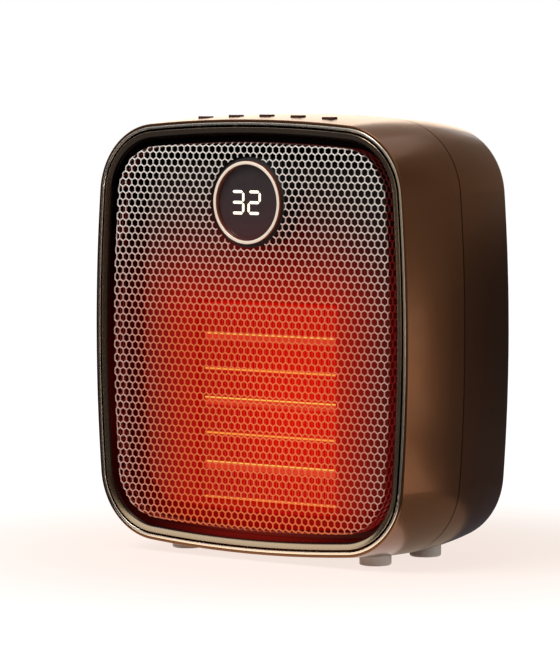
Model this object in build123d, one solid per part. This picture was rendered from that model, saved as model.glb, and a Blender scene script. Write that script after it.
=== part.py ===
from build123d import *
import math
import os

# Compact table-top ceramic (PTC) fan heater with a perforated front, a round display
# and five small keys on top. Millimetres. X to the viewer's right, Y into the depth
# with the front towards -Y, Z up. The origin is on the floor under the middle.

# Overall case
rim_width = 171.4
rim_height = 190.0
rim_corner = 31.9
side_bow = 2.5
top_bow = 2.3
case_bulge = 2.2
seam_depth = 40.0
rear_space = 17.0
rear_taper = 1.6
rear_round = 5.0
wall = 2.2
foot_height = 1.0
seam_reveal = 0.6
seam_recess = 0.8
overrun = 2.0
fit_gap = 0.2
loose_gap = 0.4

# Trim ring and bezel
case_lip = 1.1
case_lip_depth = 0.2
case_lip_round = 0.4
trim_gap = 0.1
trim_face = 1.2
trim_depth = 3.0
trim_round = 0.3
bezel_gap = 1.0
bezel_band = 5.5
bezel_depth = 11.0
bezel_outer_round = 1.8
bezel_inner_round = 3.4
ledge_width = 2.1
ledge_thick = 1.5

# Perforated front sheet
sheet_thick = 0.8
sheet_skirt = 8.0
sheet_bend = 3.3
hole_pitch = 8.75
hole_bar = 1.9
field_margin = 1.3

# Display pod
pod_drop = 36.2
ring_radius = 18.25
ring_face = 1.75
ring_proud = 0.65
ring_seat_depth = 1.2
ring_round = 0.5
pod_radius = 19.6
pod_hole_radius = 20.3
lens_radius = 17.0
lens_depth = 1.6
lens_thick = 1.2
lens_ledge = 1.5
pod_board_ledge = 2.5
pod_floor = 2.0
pod_cable_radius = 4.0
digit_height = 10.6
digit_width = 7.3
digit_gap = 1.7
digit_shift = -1.7
segment_width = 1.25
segment_joint = 0.25
segment_thick = 0.4
led_width = 24.0
led_height = 16.0
led_gap = 0.2
led_depth = 3.4
board_thick = 1.6

# Front shell flange and screw posts
flange_depth = 11.0
flange_thick = 3.0
flange_reach = 17.0
post_side_inset = 21.7
post_end_inset = 21.0
post_radius = 4.5
post_overlap = 4.0
post_bore = 1.55
rear_post_radius = 5.2
screw_radius = 1.5
screw_head_radius = 2.8
screw_head_height = 1.9
screw_seat_thick = 6.0
screw_grip = 14.0
lip_reach = 3.0
lip_thick = 1.2
lip_bite = 0.6

# Small screws
small_screw_radius = 1.2
small_screw_clear = 0.05
small_head_radius = 2.3
small_head_height = 1.4
bezel_screw_z = 40.0
bezel_screw_grip = 6.0
baffle_screw_z = 52.0
baffle_screw_grip = 1.8

# Baffle that frames the heating core
baffle_thick = 2.0
baffle_inset = 10.0
baffle_top_gap = 5.9
core_width = 72.0
core_front_gap = 0.4
core_thick = 15.0
core_pod_gap = 25.95
core_floor_gap = 21.15
window_side_gap = 3.0
window_end_gap = 1.5
chimney_wall = 2.0
chimney_overhang = 1.6

# Heating core
plate_thick = 1.0
tube_thick = 3.4
tube_wall = 0.5
stone_count = 3
stone_gap = 1.0
fin_pitch = 3.0
fin_sheet = 0.4
tab_width = 6.3
tab_thick = 0.8
tab_reach = 11.0
tab_bite = 4.0
tab_gap = 0.3

# Duct and fan
duct_length = 7.0
duct_flange = 2.0
duct_wall = 2.0
fan_side_gap = 12.8
fan_floor_gap = 18.7
fan_corner = 5.0
fan_thick = 25.0
fan_bore_wall = 2.5
fan_hole_inset = 4.75
fan_hole_radius = 2.15
fan_ear = 4.0
hub_radius = 17.5
hub_wall = 1.5
hub_recess = 2.0
hub_gap = 1.0
blade_count = 9
blade_thick = 1.3
blade_root_chord = 16.0
blade_tip_chord = 21.0
blade_root_angle = 48.0
blade_tip_angle = 28.0
blade_tip_gap = 1.2
motor_disc = 17.0
motor_disc_thick = 3.0
strut_width = 4.0
strut_count = 4
bearing_tube_radius = 4.6
bearing_radius = 3.6
bearing_length = 3.0
bearing_inset = 1.0
shaft_radius = 1.5
shaft_clear = 0.03
shaft_end_gap = 1.0
stator_outer = 12.2
stator_teeth = 6
stator_slot = 2.6
stator_stack = 5.0
coil_height = 2.2
magnet_thick = 1.8
yoke_thick = 1.0
magnet_height = 9.0
fan_screw_reach = 4.0
fan_screw_radius = 2.0
fan_screw_head = 3.6
fan_screw_head_height = 2.2

# Safety parts on the baffle
thermostat_radius = 7.0
thermostat_height = 6.0
thermostat_x = -22.0
thermostat_lift = 13.75
thermostat_plate_width = 24.0
thermostat_plate_thick = 0.8
thermostat_tab_height = 6.0
fuse_radius = 2.0
fuse_length = 12.0
fuse_x = 24.0
fuse_clip_wall = 0.8
fuse_clip_width = 5.0

# Top keys and their board
key_row_margin = 14.0
key_count = 5
key_depth_place = 14.6
key_width = 5.3
key_length = 4.2
key_proud = 0.75
key_gap = 0.25
key_travel = 0.6
key_flange = 0.8
key_flange_drop = 0.4
key_stem_radius = 1.2
key_round = 0.3
plunger_radius = 1.6
plunger_clear = 0.06
plunger_proud = 1.0
plunger_sunk = 1.2
switch_size = 6.0
switch_height = 3.4
control_board_drop = 9.5
control_board_inset = 37.7
control_board_front = 11.3
control_board_back = 27.0
control_post_inset = 5.0
control_post_depth = 21.0
control_post_radius = 2.6
notch_margin = 3.0

# Power board
power_board_side_gap = 8.8
power_board_height = 46.0
power_board_lift = 1.0
power_board_stand = 10.0
power_post_inset = 5.0
power_post_radius = 3.2
relay_width_share = 0.19
relay_height = 15.0
relay_depth = 15.5
capacitor_width_share = 0.18
capacitor_height = 8.5
capacitor_depth = 15.0
transformer_width_share = 0.2
transformer_height = 17.0
transformer_depth = 16.0
can_radius_share = 0.04
can_depth = 12.0
terminal_width = 24.0
terminal_height_share = 0.09
terminal_depth = 11.0
part_gap = 4.0
lead_radius = 1.2
lead_bend = 5.0
lead_spacing = 3.0

# Rear intake panel
intake_margin = 6.0
intake_corner = 14.0
intake_lift = 3.3
intake_flange = 3.0
intake_flange_thick = 1.5
slot_height = 3.2
slot_pitch = 6.4
slot_columns = 3
slot_mullion = 5.0
slot_border = 6.0

# Cord gland
gland_side_inset = 17.7
gland_post_gap = 24.0
gland_bore = 3.6
gland_neck = 5.4
gland_flange = 7.2
gland_flange_thick = 1.4
gland_nut_thick = 3.5
gland_nut_across = 14.0
gland_inner_reach = 6.0

# Feet
foot_radius = 7.0
foot_side_inset = 33.7
foot_front_depth = 24.0
foot_rear_inset = 20.0
foot_round = 0.8
foot_pin_radius = 2.5
foot_pin_length = 4.0

# Tip-over switch
tip_foot_gap = 22.0
tip_rear_inset = 22.0
tip_width = 14.0
tip_length = 12.0
tip_height = 12.0
tip_floor = 1.2
tip_roof = 1.2
tip_cavity = 3.4
tip_rod = 2.0
tip_rod_clear = 0.08
tip_collar = 3.1
tip_collar_thick = 1.0
tip_travel = 3.0
tip_stop_gap = 0.3
tip_pad_height = 4.5
tip_wall_clear = 0.5
spring_radius = 2.3
spring_wire = 0.45
spring_turns = 4
spring_end_gap = 0.1

# Places worked out from the sizes above
half_width = rim_width / 2
half_height = rim_height / 2
side_radius = ((half_height - rim_corner) ** 2 + side_bow ** 2) / (2 * side_bow)
top_radius = ((half_width - rim_corner) ** 2 + top_bow ** 2) / (2 * top_bow)
trim_inner = case_lip + trim_gap + trim_face
front_hole_offset = trim_inner + bezel_gap + bezel_band
post_x = half_width - post_side_inset
post_z = half_height - post_end_inset
post_joint_depth = seam_depth + post_overlap
screw_seat_depth = post_joint_depth + screw_seat_thick
control_board_top = half_height - control_board_drop
control_board_width = 2 * (half_width - control_board_inset)
control_post_x = control_board_width / 2 - control_post_inset
key_spacing = (control_board_width - 2 * key_row_margin) / (key_count - 1)
baffle_top = control_board_top - board_thick - baffle_top_gap
pod_height = half_height - pod_drop
core_top = pod_height - pod_radius - core_pod_gap
core_bottom = core_floor_gap - half_height
core_height = core_top - core_bottom
core_pitch = (core_height - plate_thick) / 6
core_z = (core_top + core_bottom) / 2
thermostat_z = core_top + thermostat_lift
core_front_depth = flange_depth + flange_thick + baffle_thick + core_front_gap
chimney_end_depth = core_front_depth + core_thick + chimney_overhang
fan_front_depth = chimney_end_depth + duct_length
fan_rear_depth = fan_front_depth + fan_thick
motor_front_depth = fan_rear_depth - motor_disc_thick
hub_depth = fan_thick - motor_disc_thick - hub_gap - hub_recess
hub_front_depth = motor_front_depth - hub_gap - hub_depth
fan_size = 2 * min(post_x - rear_post_radius - fan_side_gap, half_height + core_z - fan_floor_gap)
fan_bore = fan_size / 2 - fan_bore_wall
fan_hole_spacing = fan_size - 2 * fan_hole_inset
fan_screw_length = fan_thick + duct_flange + fan_screw_reach
case_depth = fan_rear_depth + rear_space
rim_y = -(case_depth + gland_flange_thick - ring_proud) / 2
rim_z = foot_height + half_height + case_bulge
intake_width = fan_size + 2 * intake_margin
intake_height = fan_size + 2 * intake_margin
intake_z = core_z + intake_lift
power_board_width = 2 * (post_x - rear_post_radius - power_board_side_gap)
power_board_z = (intake_z + intake_height / 2 + intake_flange + power_board_lift
                 + power_board_height / 2)
power_board_depth = case_depth - power_board_stand
relay_width = relay_width_share * power_board_width
capacitor_width = capacitor_width_share * power_board_width
transformer_width = transformer_width_share * power_board_width
can_radius = can_radius_share * power_board_width
terminal_height = terminal_height_share * power_board_width
gland_x = half_width - gland_side_inset
gland_z = gland_post_gap - post_z
foot_x = half_width - foot_side_inset
foot_rear_depth = case_depth - foot_rear_inset
tip_x = tip_foot_gap - foot_x
tip_depth = case_depth - tip_rear_inset


def facing(depth):
    """Plane at a depth behind the rim plane, seen from the front, centred on the rim."""
    return Plane(origin=(0, rim_y + depth, rim_z), x_dir=(1, 0, 0), z_dir=(0, -1, 0))


def level(height):
    """Horizontal plane at a height above the middle of the rim."""
    return Plane(origin=(0, rim_y, rim_z + height))


def slab(sketch, front, rear):
    """Solid from a front-view sketch between two depths."""
    return extrude(facing(rear) * sketch, amount=rear - front)


def block(width, height, front, rear, x=0, z=0):
    """Box between two depths, centred on x and z of the rim."""
    return slab(Pos(x, z) * Rectangle(width, height), front, rear)


def rod(radius, front, rear, x=0, z=0):
    """Round bar along the depth."""
    return slab(Pos(x, z) * Circle(radius), front, rear)


def tower(sketch, low, high):
    """Solid from a plan-view sketch between two heights of the rim frame."""
    return extrude(level(low) * sketch, amount=high - low)


def rounded(width, height, radius):
    return RectangleRounded(width, height, radius)


def corner_centre():
    """Centre of the corner arc that is tangent to both long side arcs."""
    side = Vector(half_width - side_radius, 0)
    top = Vector(0, half_height - top_radius)
    to_side = side_radius - rim_corner
    to_top = top_radius - rim_corner
    span = (top - side).length
    along = (to_side ** 2 - to_top ** 2 + span ** 2) / (2 * span)
    across = math.sqrt(to_side ** 2 - along ** 2)
    unit = (top - side) * (1 / span)
    foot = side + unit * along
    return foot + Vector(-unit.Y, unit.X) * across


CORNER = corner_centre()
SIDE_ANGLE = math.atan2(CORNER.Y, CORNER.X - (half_width - side_radius))
TOP_ANGLE = math.atan2(CORNER.Y - (half_height - top_radius), CORNER.X)


def corner_point(angle, offset):
    reach = rim_corner + offset
    return (CORNER.X + reach * math.cos(angle), CORNER.Y + reach * math.sin(angle))


def outline(offset):
    """Eight-arc outline concentric with the rim, grown outwards by an offset."""
    low_x, low_z = corner_point(SIDE_ANGLE, offset)
    mid_x, mid_z = corner_point((SIDE_ANGLE + TOP_ANGLE) / 2, offset)
    high_x, high_z = corner_point(TOP_ANGLE, offset)
    side = half_width + offset
    top = half_height + offset
    arcs = [
        ThreePointArc((low_x, -low_z), (side, 0), (low_x, low_z)),
        ThreePointArc((low_x, low_z), (mid_x, mid_z), (high_x, high_z)),
        ThreePointArc((high_x, high_z), (0, top), (-high_x, high_z)),
        ThreePointArc((-high_x, high_z), (-mid_x, mid_z), (-low_x, low_z)),
        ThreePointArc((-low_x, low_z), (-side, 0), (-low_x, -low_z)),
        ThreePointArc((-low_x, -low_z), (-mid_x, -mid_z), (-high_x, -high_z)),
        ThreePointArc((-high_x, -high_z), (0, -top), (high_x, -high_z)),
        ThreePointArc((high_x, -high_z), (mid_x, -mid_z), (low_x, -low_z)),
    ]
    return make_face(arcs)


def case_offset(depth):
    """How far the case stands outside the rim outline at a depth."""
    if depth <= seam_depth:
        return case_bulge * (1 - ((seam_depth - depth) / seam_depth) ** 2)
    share = (depth - seam_depth) / (case_depth - seam_depth)
    return case_bulge - (case_bulge + rear_taper) * share ** 2


def case_loft(front, rear, inset):
    """Smooth body of the case between two depths, moved in by an inset."""
    depths = [front, (front + rear) / 2, rear]
    return loft([facing(d) * outline(case_offset(d) - inset) for d in depths])


def top_height(x, depth):
    """Height of the case's top surface above the middle of the rim."""
    radius = top_radius + case_offset(depth)
    return half_height - top_radius + math.sqrt(radius ** 2 - x ** 2)


def side_place(offset, z):
    """Half width of the rim outline, moved by an offset, at a height."""
    radius = side_radius + offset
    return half_width - side_radius + math.sqrt(radius ** 2 - z ** 2)


def corners(x, z):
    return [(x, z), (-x, z), (-x, -z), (x, -z)]


def front_edges(solid):
    """Edges of the frontmost flat face."""
    return solid.faces().filter_by(Axis.Y).sort_by(Axis.Y)[0].edges()


def pan_screw(radius, head_radius, head_height, tip, seat, x, z):
    """Screw driven from the rear: its head rests on the seat, its tip is in front."""
    head = rod(head_radius, seat, seat + head_height, x, z)
    slot = block(head_radius, radius / 2, seat + head_height / 2, seat + head_height + overrun, x, z)
    return rod(radius, tip, seat, x, z) + head - slot


def key_places():
    first = -(key_count - 1) / 2
    return [(first + i) * key_spacing for i in range(key_count)]


def make_front_shell():
    """Forward half of the case, with the flange, screw posts, key slots and board posts."""
    shell = case_loft(case_lip_depth, seam_depth, 0)
    shell = fillet(front_edges(shell), case_lip_round)
    shell -= case_loft(case_lip_depth - overrun, seam_depth, wall)
    shell -= slab(outline(-case_lip), case_lip_depth - overrun, trim_depth)
    shell -= slab(outline(case_bulge + overrun) - outline(case_bulge - seam_recess),
                  seam_depth - seam_reveal, seam_depth)
    flange_rear = flange_depth + flange_thick
    skin = case_loft(flange_depth, flange_rear, wall / 2)
    flange = skin - slab(outline(-flange_reach), flange_depth, flange_rear)
    notch = tower(Pos(0, flange_depth) * Rectangle(control_board_width + 2 * notch_margin, 2 * flange_rear),
                  control_board_top - board_thick - 2 * notch_margin, half_height + 2 * overrun)
    shell += flange - notch
    bite = slab(outline(case_bulge - wall + lip_bite) - outline(case_bulge - wall - lip_thick),
                seam_depth - lip_reach, seam_depth)
    lip = slab(outline(case_bulge - wall - fit_gap) - outline(case_bulge - wall - lip_thick),
               seam_depth - lip_reach, seam_depth + lip_reach)
    shell += bite + lip
    for x, z in corners(post_x, post_z):
        shell += rod(post_radius, flange_depth, post_joint_depth, x, z)
        shell -= rod(post_bore, post_joint_depth - screw_grip - overrun, post_joint_depth, x, z)
    for x in (-control_post_x, control_post_x):
        roof = top_height(x, control_post_depth) - wall / 2
        shell += tower(Pos(x, control_post_depth) * Circle(control_post_radius), control_board_top, roof)
        shell -= tower(Pos(x, control_post_depth) * Circle(small_screw_radius + small_screw_clear),
                       control_board_top, roof - wall)
    for x, z in bezel_screw_places():
        shell -= rod(small_screw_radius + small_screw_clear, flange_depth - overrun,
                     flange_rear + overrun, x, z)
    for x, z in baffle_screw_places():
        shell -= rod(small_screw_radius + small_screw_clear, flange_depth + fit_gap, flange_rear, x, z)
    for x in key_places():
        shell -= tower(Pos(x, key_depth_place) * Rectangle(key_width + 2 * key_gap, key_length + 2 * key_gap),
                       control_board_top + switch_height, half_height + case_bulge + overrun)
    for x, depth in ((foot_x, foot_front_depth), (-foot_x, foot_front_depth)):
        shell -= foot_pin(x, depth, fit_gap / 2)
    return shell


def rear_floor(x, depth):
    """Height of the case's bottom surface below the middle of the rim."""
    return -top_height(x, depth)


def make_rear_shell():
    """Rear half of the case, with the intake window, gland hole and screw tunnels."""
    shell = case_loft(seam_depth, case_depth, 0)
    rear_rim = shell.faces().filter_by(Axis.Y).sort_by(Axis.Y)[-1].edges()
    shell = fillet(rear_rim, rear_round)
    shell -= case_loft(seam_depth - overrun, case_depth - wall, wall)
    for x, z in corners(post_x, post_z):
        shell += rod(rear_post_radius, post_joint_depth, case_depth - wall / 2, x, z)
        shell -= rod(screw_head_radius + loose_gap, screw_seat_depth, case_depth + overrun, x, z)
        shell -= rod(screw_radius + loose_gap, post_joint_depth - overrun, screw_seat_depth + overrun, x, z)
    window = Pos(0, intake_z) * rounded(intake_width, intake_height, intake_corner)
    shell -= slab(window, case_depth - wall - overrun, case_depth + overrun)
    shell -= rod(gland_neck + fit_gap, case_depth - wall - overrun, case_depth + overrun, gland_x, gland_z)
    for x, z in power_post_places():
        shell += rod(power_post_radius, power_board_depth + board_thick, case_depth - wall / 2, x, z)
        shell -= rod(small_screw_radius + small_screw_clear, power_board_depth + board_thick,
                     case_depth - wall, x, z)
    pad = tower(Pos(tip_x, tip_depth) * Rectangle(tip_width + wall, tip_length + wall),
                rear_floor(tip_x, tip_depth) + wall / 2, tip_base())
    shell += pad
    shell -= tower(Pos(tip_x, tip_depth) * Circle(tip_rod + tip_wall_clear),
                   -half_height - 2 * overrun, tip_base())
    for x, depth in ((foot_x, foot_rear_depth), (-foot_x, foot_rear_depth)):
        shell -= foot_pin(x, depth, fit_gap / 2)
    return shell


def tip_base():
    """Height of the tip-over switch's seat."""
    return rear_floor(tip_x, tip_depth) + tip_pad_height


def bezel_screw_places():
    offset = -(trim_inner + bezel_gap + bezel_band / 2)
    return corners(side_place(offset, bezel_screw_z), bezel_screw_z)


def baffle_screw_places():
    offset = -(baffle_inset + flange_reach) / 2
    return corners(side_place(offset, baffle_screw_z), baffle_screw_z)


def power_post_places():
    x = power_board_width / 2 - power_post_inset
    z = power_board_height / 2 - power_post_inset
    return [(px, pz + power_board_z) for px, pz in corners(x, z)]


def make_trim_ring():
    """Bright ring seated just inside the front edge of the case."""
    ring = slab(outline(-case_lip - trim_gap) - outline(-trim_inner), 0, trim_depth)
    return fillet(front_edges(ring), trim_round)


def make_bezel():
    """Dark rolled lip between the trim ring and the perforated sheet, with an inner ledge."""
    outer = outline(-trim_inner - bezel_gap)
    inner = outline(-front_hole_offset)
    lip = slab(outer - inner, 0, bezel_depth)
    face = lip.faces().filter_by(Axis.Y).sort_by(Axis.Y)[0]
    lip = fillet(face.outer_wire().edges(), bezel_outer_round)
    face = lip.faces().filter_by(Axis.Y).sort_by(Axis.Y)[0]
    lip = fillet(face.inner_wires()[0].edges(), bezel_inner_round)
    ledge = outline(-front_hole_offset + ledge_width / 2) - outline(-front_hole_offset - ledge_width)
    lip += slab(ledge, sheet_skirt, sheet_skirt + ledge_thick)
    for x, z in bezel_screw_places():
        lip -= rod(small_screw_radius + small_screw_clear, bezel_depth - bezel_screw_grip - fit_gap,
                   bezel_depth, x, z)
    return lip


def hexagon(radius, x, z):
    points = []
    for k in range(6):
        angle = math.radians(60 * k + 30)
        points.append((x + radius * math.cos(angle), z + radius * math.sin(angle)))
    return Polyline(*points, close=True)


def hole_places(flat_offset):
    """Centres of the hexagonal holes that fit in the flat field clear of the display."""
    row = hole_pitch * math.sqrt(3) / 2
    radius = (hole_pitch - hole_bar) / math.sqrt(3)
    reach = radius + field_margin
    places = []
    rows = int(half_height / row)
    columns = int(half_width / hole_pitch)
    for j in range(-rows, rows + 1):
        shift = hole_pitch / 2 if j % 2 else 0
        for i in range(-columns - 1, columns + 1):
            x = i * hole_pitch + shift
            z = j * row
            if math.hypot(x, z - pod_height) < pod_hole_radius + radius + fit_gap:
                continue
            if inside(abs(x), abs(z), flat_offset - reach):
                places.append((x, z))
    return places


def inside(x, z, offset):
    """Whether a point of the first quarter lies inside the offset outline."""
    if math.hypot(x - half_width + side_radius, z) > side_radius + offset:
        return False
    if math.hypot(x, z - half_height + top_radius) > top_radius + offset:
        return False
    in_corner = x > CORNER.X and z > CORNER.Y
    return not in_corner or math.hypot(x - CORNER.X, z - CORNER.Y) < rim_corner + offset


def make_front_grille():
    """Perforated sheet with a bent-back edge; its holes are drawn coarser than real."""
    edge = -front_hole_offset - fit_gap
    flat = edge - sheet_bend
    radius = (hole_pitch - hole_bar) / math.sqrt(3)
    cup = fillet(front_edges(slab(outline(edge), 0, sheet_skirt)), sheet_bend)
    core = slab(outline(edge - sheet_thick), sheet_thick, sheet_skirt + overrun)
    cup -= fillet(front_edges(core), sheet_bend - sheet_thick)
    cup -= slab(outline(flat), 0, sheet_thick)
    wires = [hexagon(radius, x, z).wire() for x, z in hole_places(flat)]
    wires.append((Pos(0, pod_height) * Circle(pod_hole_radius)).wire())
    field = Face(outline(flat).wire(), wires)
    return cup + slab(Sketch() + field, 0, sheet_thick)


def make_display_ring():
    ring = slab(Pos(0, pod_height) * (Circle(ring_radius) - Circle(ring_radius - ring_face)),
                -ring_proud, ring_seat_depth)
    return fillet(front_edges(ring), ring_round)


def make_display_housing():
    """Round pod that carries the display, standing on the baffle."""
    rear = flange_depth + flange_thick
    lens_rear = lens_depth + lens_thick
    board_rear = lens_rear + led_gap + led_depth + board_thick
    pod = rod(pod_radius, ring_seat_depth, rear, z=pod_height)
    pod -= rod(lens_radius + fit_gap / 2, ring_seat_depth - overrun, lens_rear, z=pod_height)
    pod -= rod(lens_radius - lens_ledge, lens_rear, board_rear, z=pod_height)
    pod -= rod(lens_radius - lens_ledge - pod_board_ledge, board_rear, rear - pod_floor, z=pod_height)
    pod -= rod(pod_cable_radius, rear - pod_floor, rear, z=pod_height)
    return pod


def segment_outline(length):
    """One bar of a digit, lying along X, with pointed ends."""
    half = segment_width / 2
    end = length / 2 - segment_joint
    points = [(-end, 0), (-end + half, half), (end - half, half),
              (end, 0), (end - half, -half), (-end + half, -half)]
    return make_face(Polyline(*points, close=True))


# Bars of a digit as shares of its half width and half height, and whether they stand upright
bar_place_shares = {
    "a": (0, 1, False),
    "b": (1, 0.5, True),
    "c": (1, -0.5, True),
    "d": (0, -1, False),
    "e": (-1, -0.5, True),
    "f": (-1, 0.5, True),
    "g": (0, 0, False),
}
shown_bars = ("abcdg", "abdeg")


def digit_bars():
    """Front-view sketches of the lit bars."""
    half_w = (digit_width - segment_width) / 2
    half_h = (digit_height - segment_width) / 2
    bars = []
    for index, letters in enumerate(shown_bars):
        centre = digit_shift + (index - (len(shown_bars) - 1) / 2) * (digit_width + digit_gap)
        for letter in letters:
            share_x, share_z, upright = bar_place_shares[letter]
            length = half_h if upright else 2 * half_w
            turn = 90 if upright else 0
            place = Pos(centre + share_x * half_w, pod_height + share_z * half_h)
            bars.append(place * Rot(0, 0, turn) * segment_outline(length))
    return bars


def make_display_lens():
    lens = rod(lens_radius, lens_depth, lens_depth + lens_thick, z=pod_height)
    for bar in digit_bars():
        lens -= slab(bar, lens_depth - overrun, lens_depth + segment_thick)
    return lens


def make_display_digits():
    return Compound([slab(bar, lens_depth, lens_depth + segment_thick).solid() for bar in digit_bars()])


def make_display_module():
    front = lens_depth + lens_thick + led_gap
    return block(led_width, led_height, front, front + led_depth, z=pod_height)


def make_display_board():
    front = lens_depth + lens_thick + led_gap + led_depth
    return rod(lens_radius - lens_ledge - fit_gap, front, front + board_thick, z=pod_height)


def window_size():
    return core_width + 2 * window_side_gap, core_height + 2 * window_end_gap


def make_core_baffle():
    """Heat-proof plate behind the sheet, with a short chimney round the heating core."""
    front = flange_depth + flange_thick
    rear = front + baffle_thick
    width, height = window_size()
    plate = slab(outline(-baffle_inset), front, rear)
    plate -= block(rim_width, rim_height, front, rear, z=baffle_top + half_height)
    box = block(width + 2 * chimney_wall, height + 2 * chimney_wall, front, chimney_end_depth, z=core_z)
    plate += box
    plate -= block(width, height, front - overrun, chimney_end_depth + overrun, z=core_z)
    for x, z in corners(post_x, post_z):
        plate -= rod(post_radius + loose_gap, front, rear, x, z)
    for x, z in baffle_screw_places():
        plate -= rod(small_screw_radius + small_screw_clear, front, rear, x, z)
    plate -= rod(pod_cable_radius, front, rear, z=pod_height)
    for z in tube_heights():
        plate -= block(chimney_wall + overrun, tab_thick + 2 * tab_gap, core_tab_front() - tab_gap,
                       core_tab_front() + tab_width + tab_gap, -(width + chimney_wall) / 2, z)
    return plate


def core_tab_front():
    return core_front_depth + (core_thick - tab_width) / 2


def plate_heights():
    return [core_z + (2 * k - 3) * core_pitch for k in range(4)]


def tube_heights():
    return [core_z + (2 * k - 2) * core_pitch for k in range(3)]


def make_core_holders():
    """Two insulating side channels that hold the ends of the core."""
    solids = []
    width, height = window_size()
    rear = core_front_depth + core_thick
    for side in (-1, 1):
        x = side * (core_width + window_side_gap) / 2
        bar = block(window_side_gap, height, core_front_depth, rear, x, core_z)
        if side < 0:
            for z in tube_heights():
                bar -= block(window_side_gap + overrun, tab_thick + 2 * tab_gap, core_tab_front() - tab_gap,
                             core_tab_front() + tab_width + tab_gap, x, z)
        solids.append(bar.solid())
    return Compound(solids)


def make_heating_tubes():
    """Three flat aluminium tubes that hold the ceramic stones."""
    tubes = []
    rear = core_front_depth + core_thick
    for z in tube_heights():
        tube = block(core_width, tube_thick, core_front_depth, rear, z=z)
        tube -= block(core_width + overrun, tube_thick - 2 * tube_wall, core_front_depth + tube_wall,
                      rear - tube_wall, z=z)
        tubes.append(tube.solid())
    return Compound(tubes)


def stone_length():
    clear = core_width - tab_bite - stone_gap
    return (clear - (stone_count - 1) * stone_gap) / stone_count


def make_ceramic_stones():
    """Barium titanate stones in a row inside each tube."""
    stones = []
    length = stone_length()
    rear = core_front_depth + core_thick - tube_wall
    height = tube_thick - 2 * tube_wall
    for z in tube_heights():
        for i in range(stone_count):
            x = core_width / 2 - length / 2 - i * (length + stone_gap)
            stones.append(block(length, height, core_front_depth + tube_wall, rear, x, z).solid())
    return Compound(stones)


def make_terminal_tabs():
    """Push-on blades at the left end of the tubes."""
    tabs = []
    for z in tube_heights():
        length = tab_reach + tab_bite
        x = -core_width / 2 + tab_bite - length / 2
        blade = block(length, tab_thick, core_tab_front(), core_tab_front() + tab_width, x, z)
        hole_x = x - length / 2 + tab_width / 2
        hole = extrude(Plane(origin=(hole_x, rim_y + core_tab_front() + tab_width / 2, rim_z + z - tab_width))
                       * Circle(tab_thick), amount=2 * tab_width)
        seat = block(tab_bite, tube_thick - 2 * tube_wall, core_tab_front(), core_tab_front() + tab_width,
                     -core_width / 2 + tab_bite / 2, z)
        tabs.append((blade - hole + seat).solid())
    return Compound(tabs)


def make_spacer_plates():
    """Thin aluminium plates between and outside the fin rows."""
    rear = core_front_depth + core_thick
    return Compound([block(core_width, plate_thick, core_front_depth, rear, z=z).solid()
                     for z in plate_heights()])


def fin_row(low, high):
    """Corrugated strip that fills one row: a square wave of thin sheet."""
    waves = int(core_width / fin_pitch)
    start = -(waves * fin_pitch - fin_pitch / 2 + fin_sheet) / 2
    upper = []
    lower = []
    for i in range(waves):
        left = start + i * fin_pitch
        middle = left + fin_pitch / 2
        upper += [(left, low + fin_sheet), (left, high),
                  (middle + fin_sheet, high), (middle + fin_sheet, low + fin_sheet)]
        lower += [(left + fin_sheet, low), (left + fin_sheet, high - fin_sheet),
                  (middle, high - fin_sheet), (middle, low)]
    upper[0] = (start, low)
    upper[-1] = (upper[-1][0], low)
    return make_face(Polyline(*upper, *reversed(lower), close=True))


def make_fin_rows():
    """Six rows of corrugated aluminium fins."""
    rear = core_front_depth + core_thick
    rows = []
    for k in range(6):
        low = core_z + (k - 3) * core_pitch
        high = low + core_pitch
        under = plate_thick if k % 2 == 0 else tube_thick
        over = tube_thick if k % 2 == 0 else plate_thick
        rows.append(slab(fin_row(low + under / 2, high - over / 2), core_front_depth, rear).solid())
    return Compound(rows)


def make_fan_duct():
    """Funnel from the fan's round bore to the chimney's rectangular end."""
    width, height = window_size()
    front = chimney_end_depth
    rear = fan_front_depth - duct_flange
    inner = fan_size - 2 * duct_wall - fan_corner / 2
    centre = Pos(0, core_z)
    grow = 2 * duct_wall
    outer_ends = [facing(front) * centre * Rectangle(width + grow, height + grow),
                  facing(rear) * centre * Rectangle(inner + grow, inner + grow)]
    inner_ends = [facing(front) * centre * Rectangle(width, height),
                  facing(rear) * centre * Rectangle(inner, inner)]
    duct = loft(outer_ends, ruled=True) - loft(inner_ends, ruled=True)
    flange = slab(Pos(0, core_z) * rounded(fan_size, fan_size, fan_corner), rear, fan_front_depth)
    flange -= rod(fan_bore, rear - overrun, fan_front_depth + overrun, z=core_z)
    duct += flange
    for x, z in corners(fan_hole_spacing / 2, fan_hole_spacing / 2):
        duct -= rod(fan_hole_radius, front, fan_front_depth, x, core_z + z)
    return duct


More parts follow.
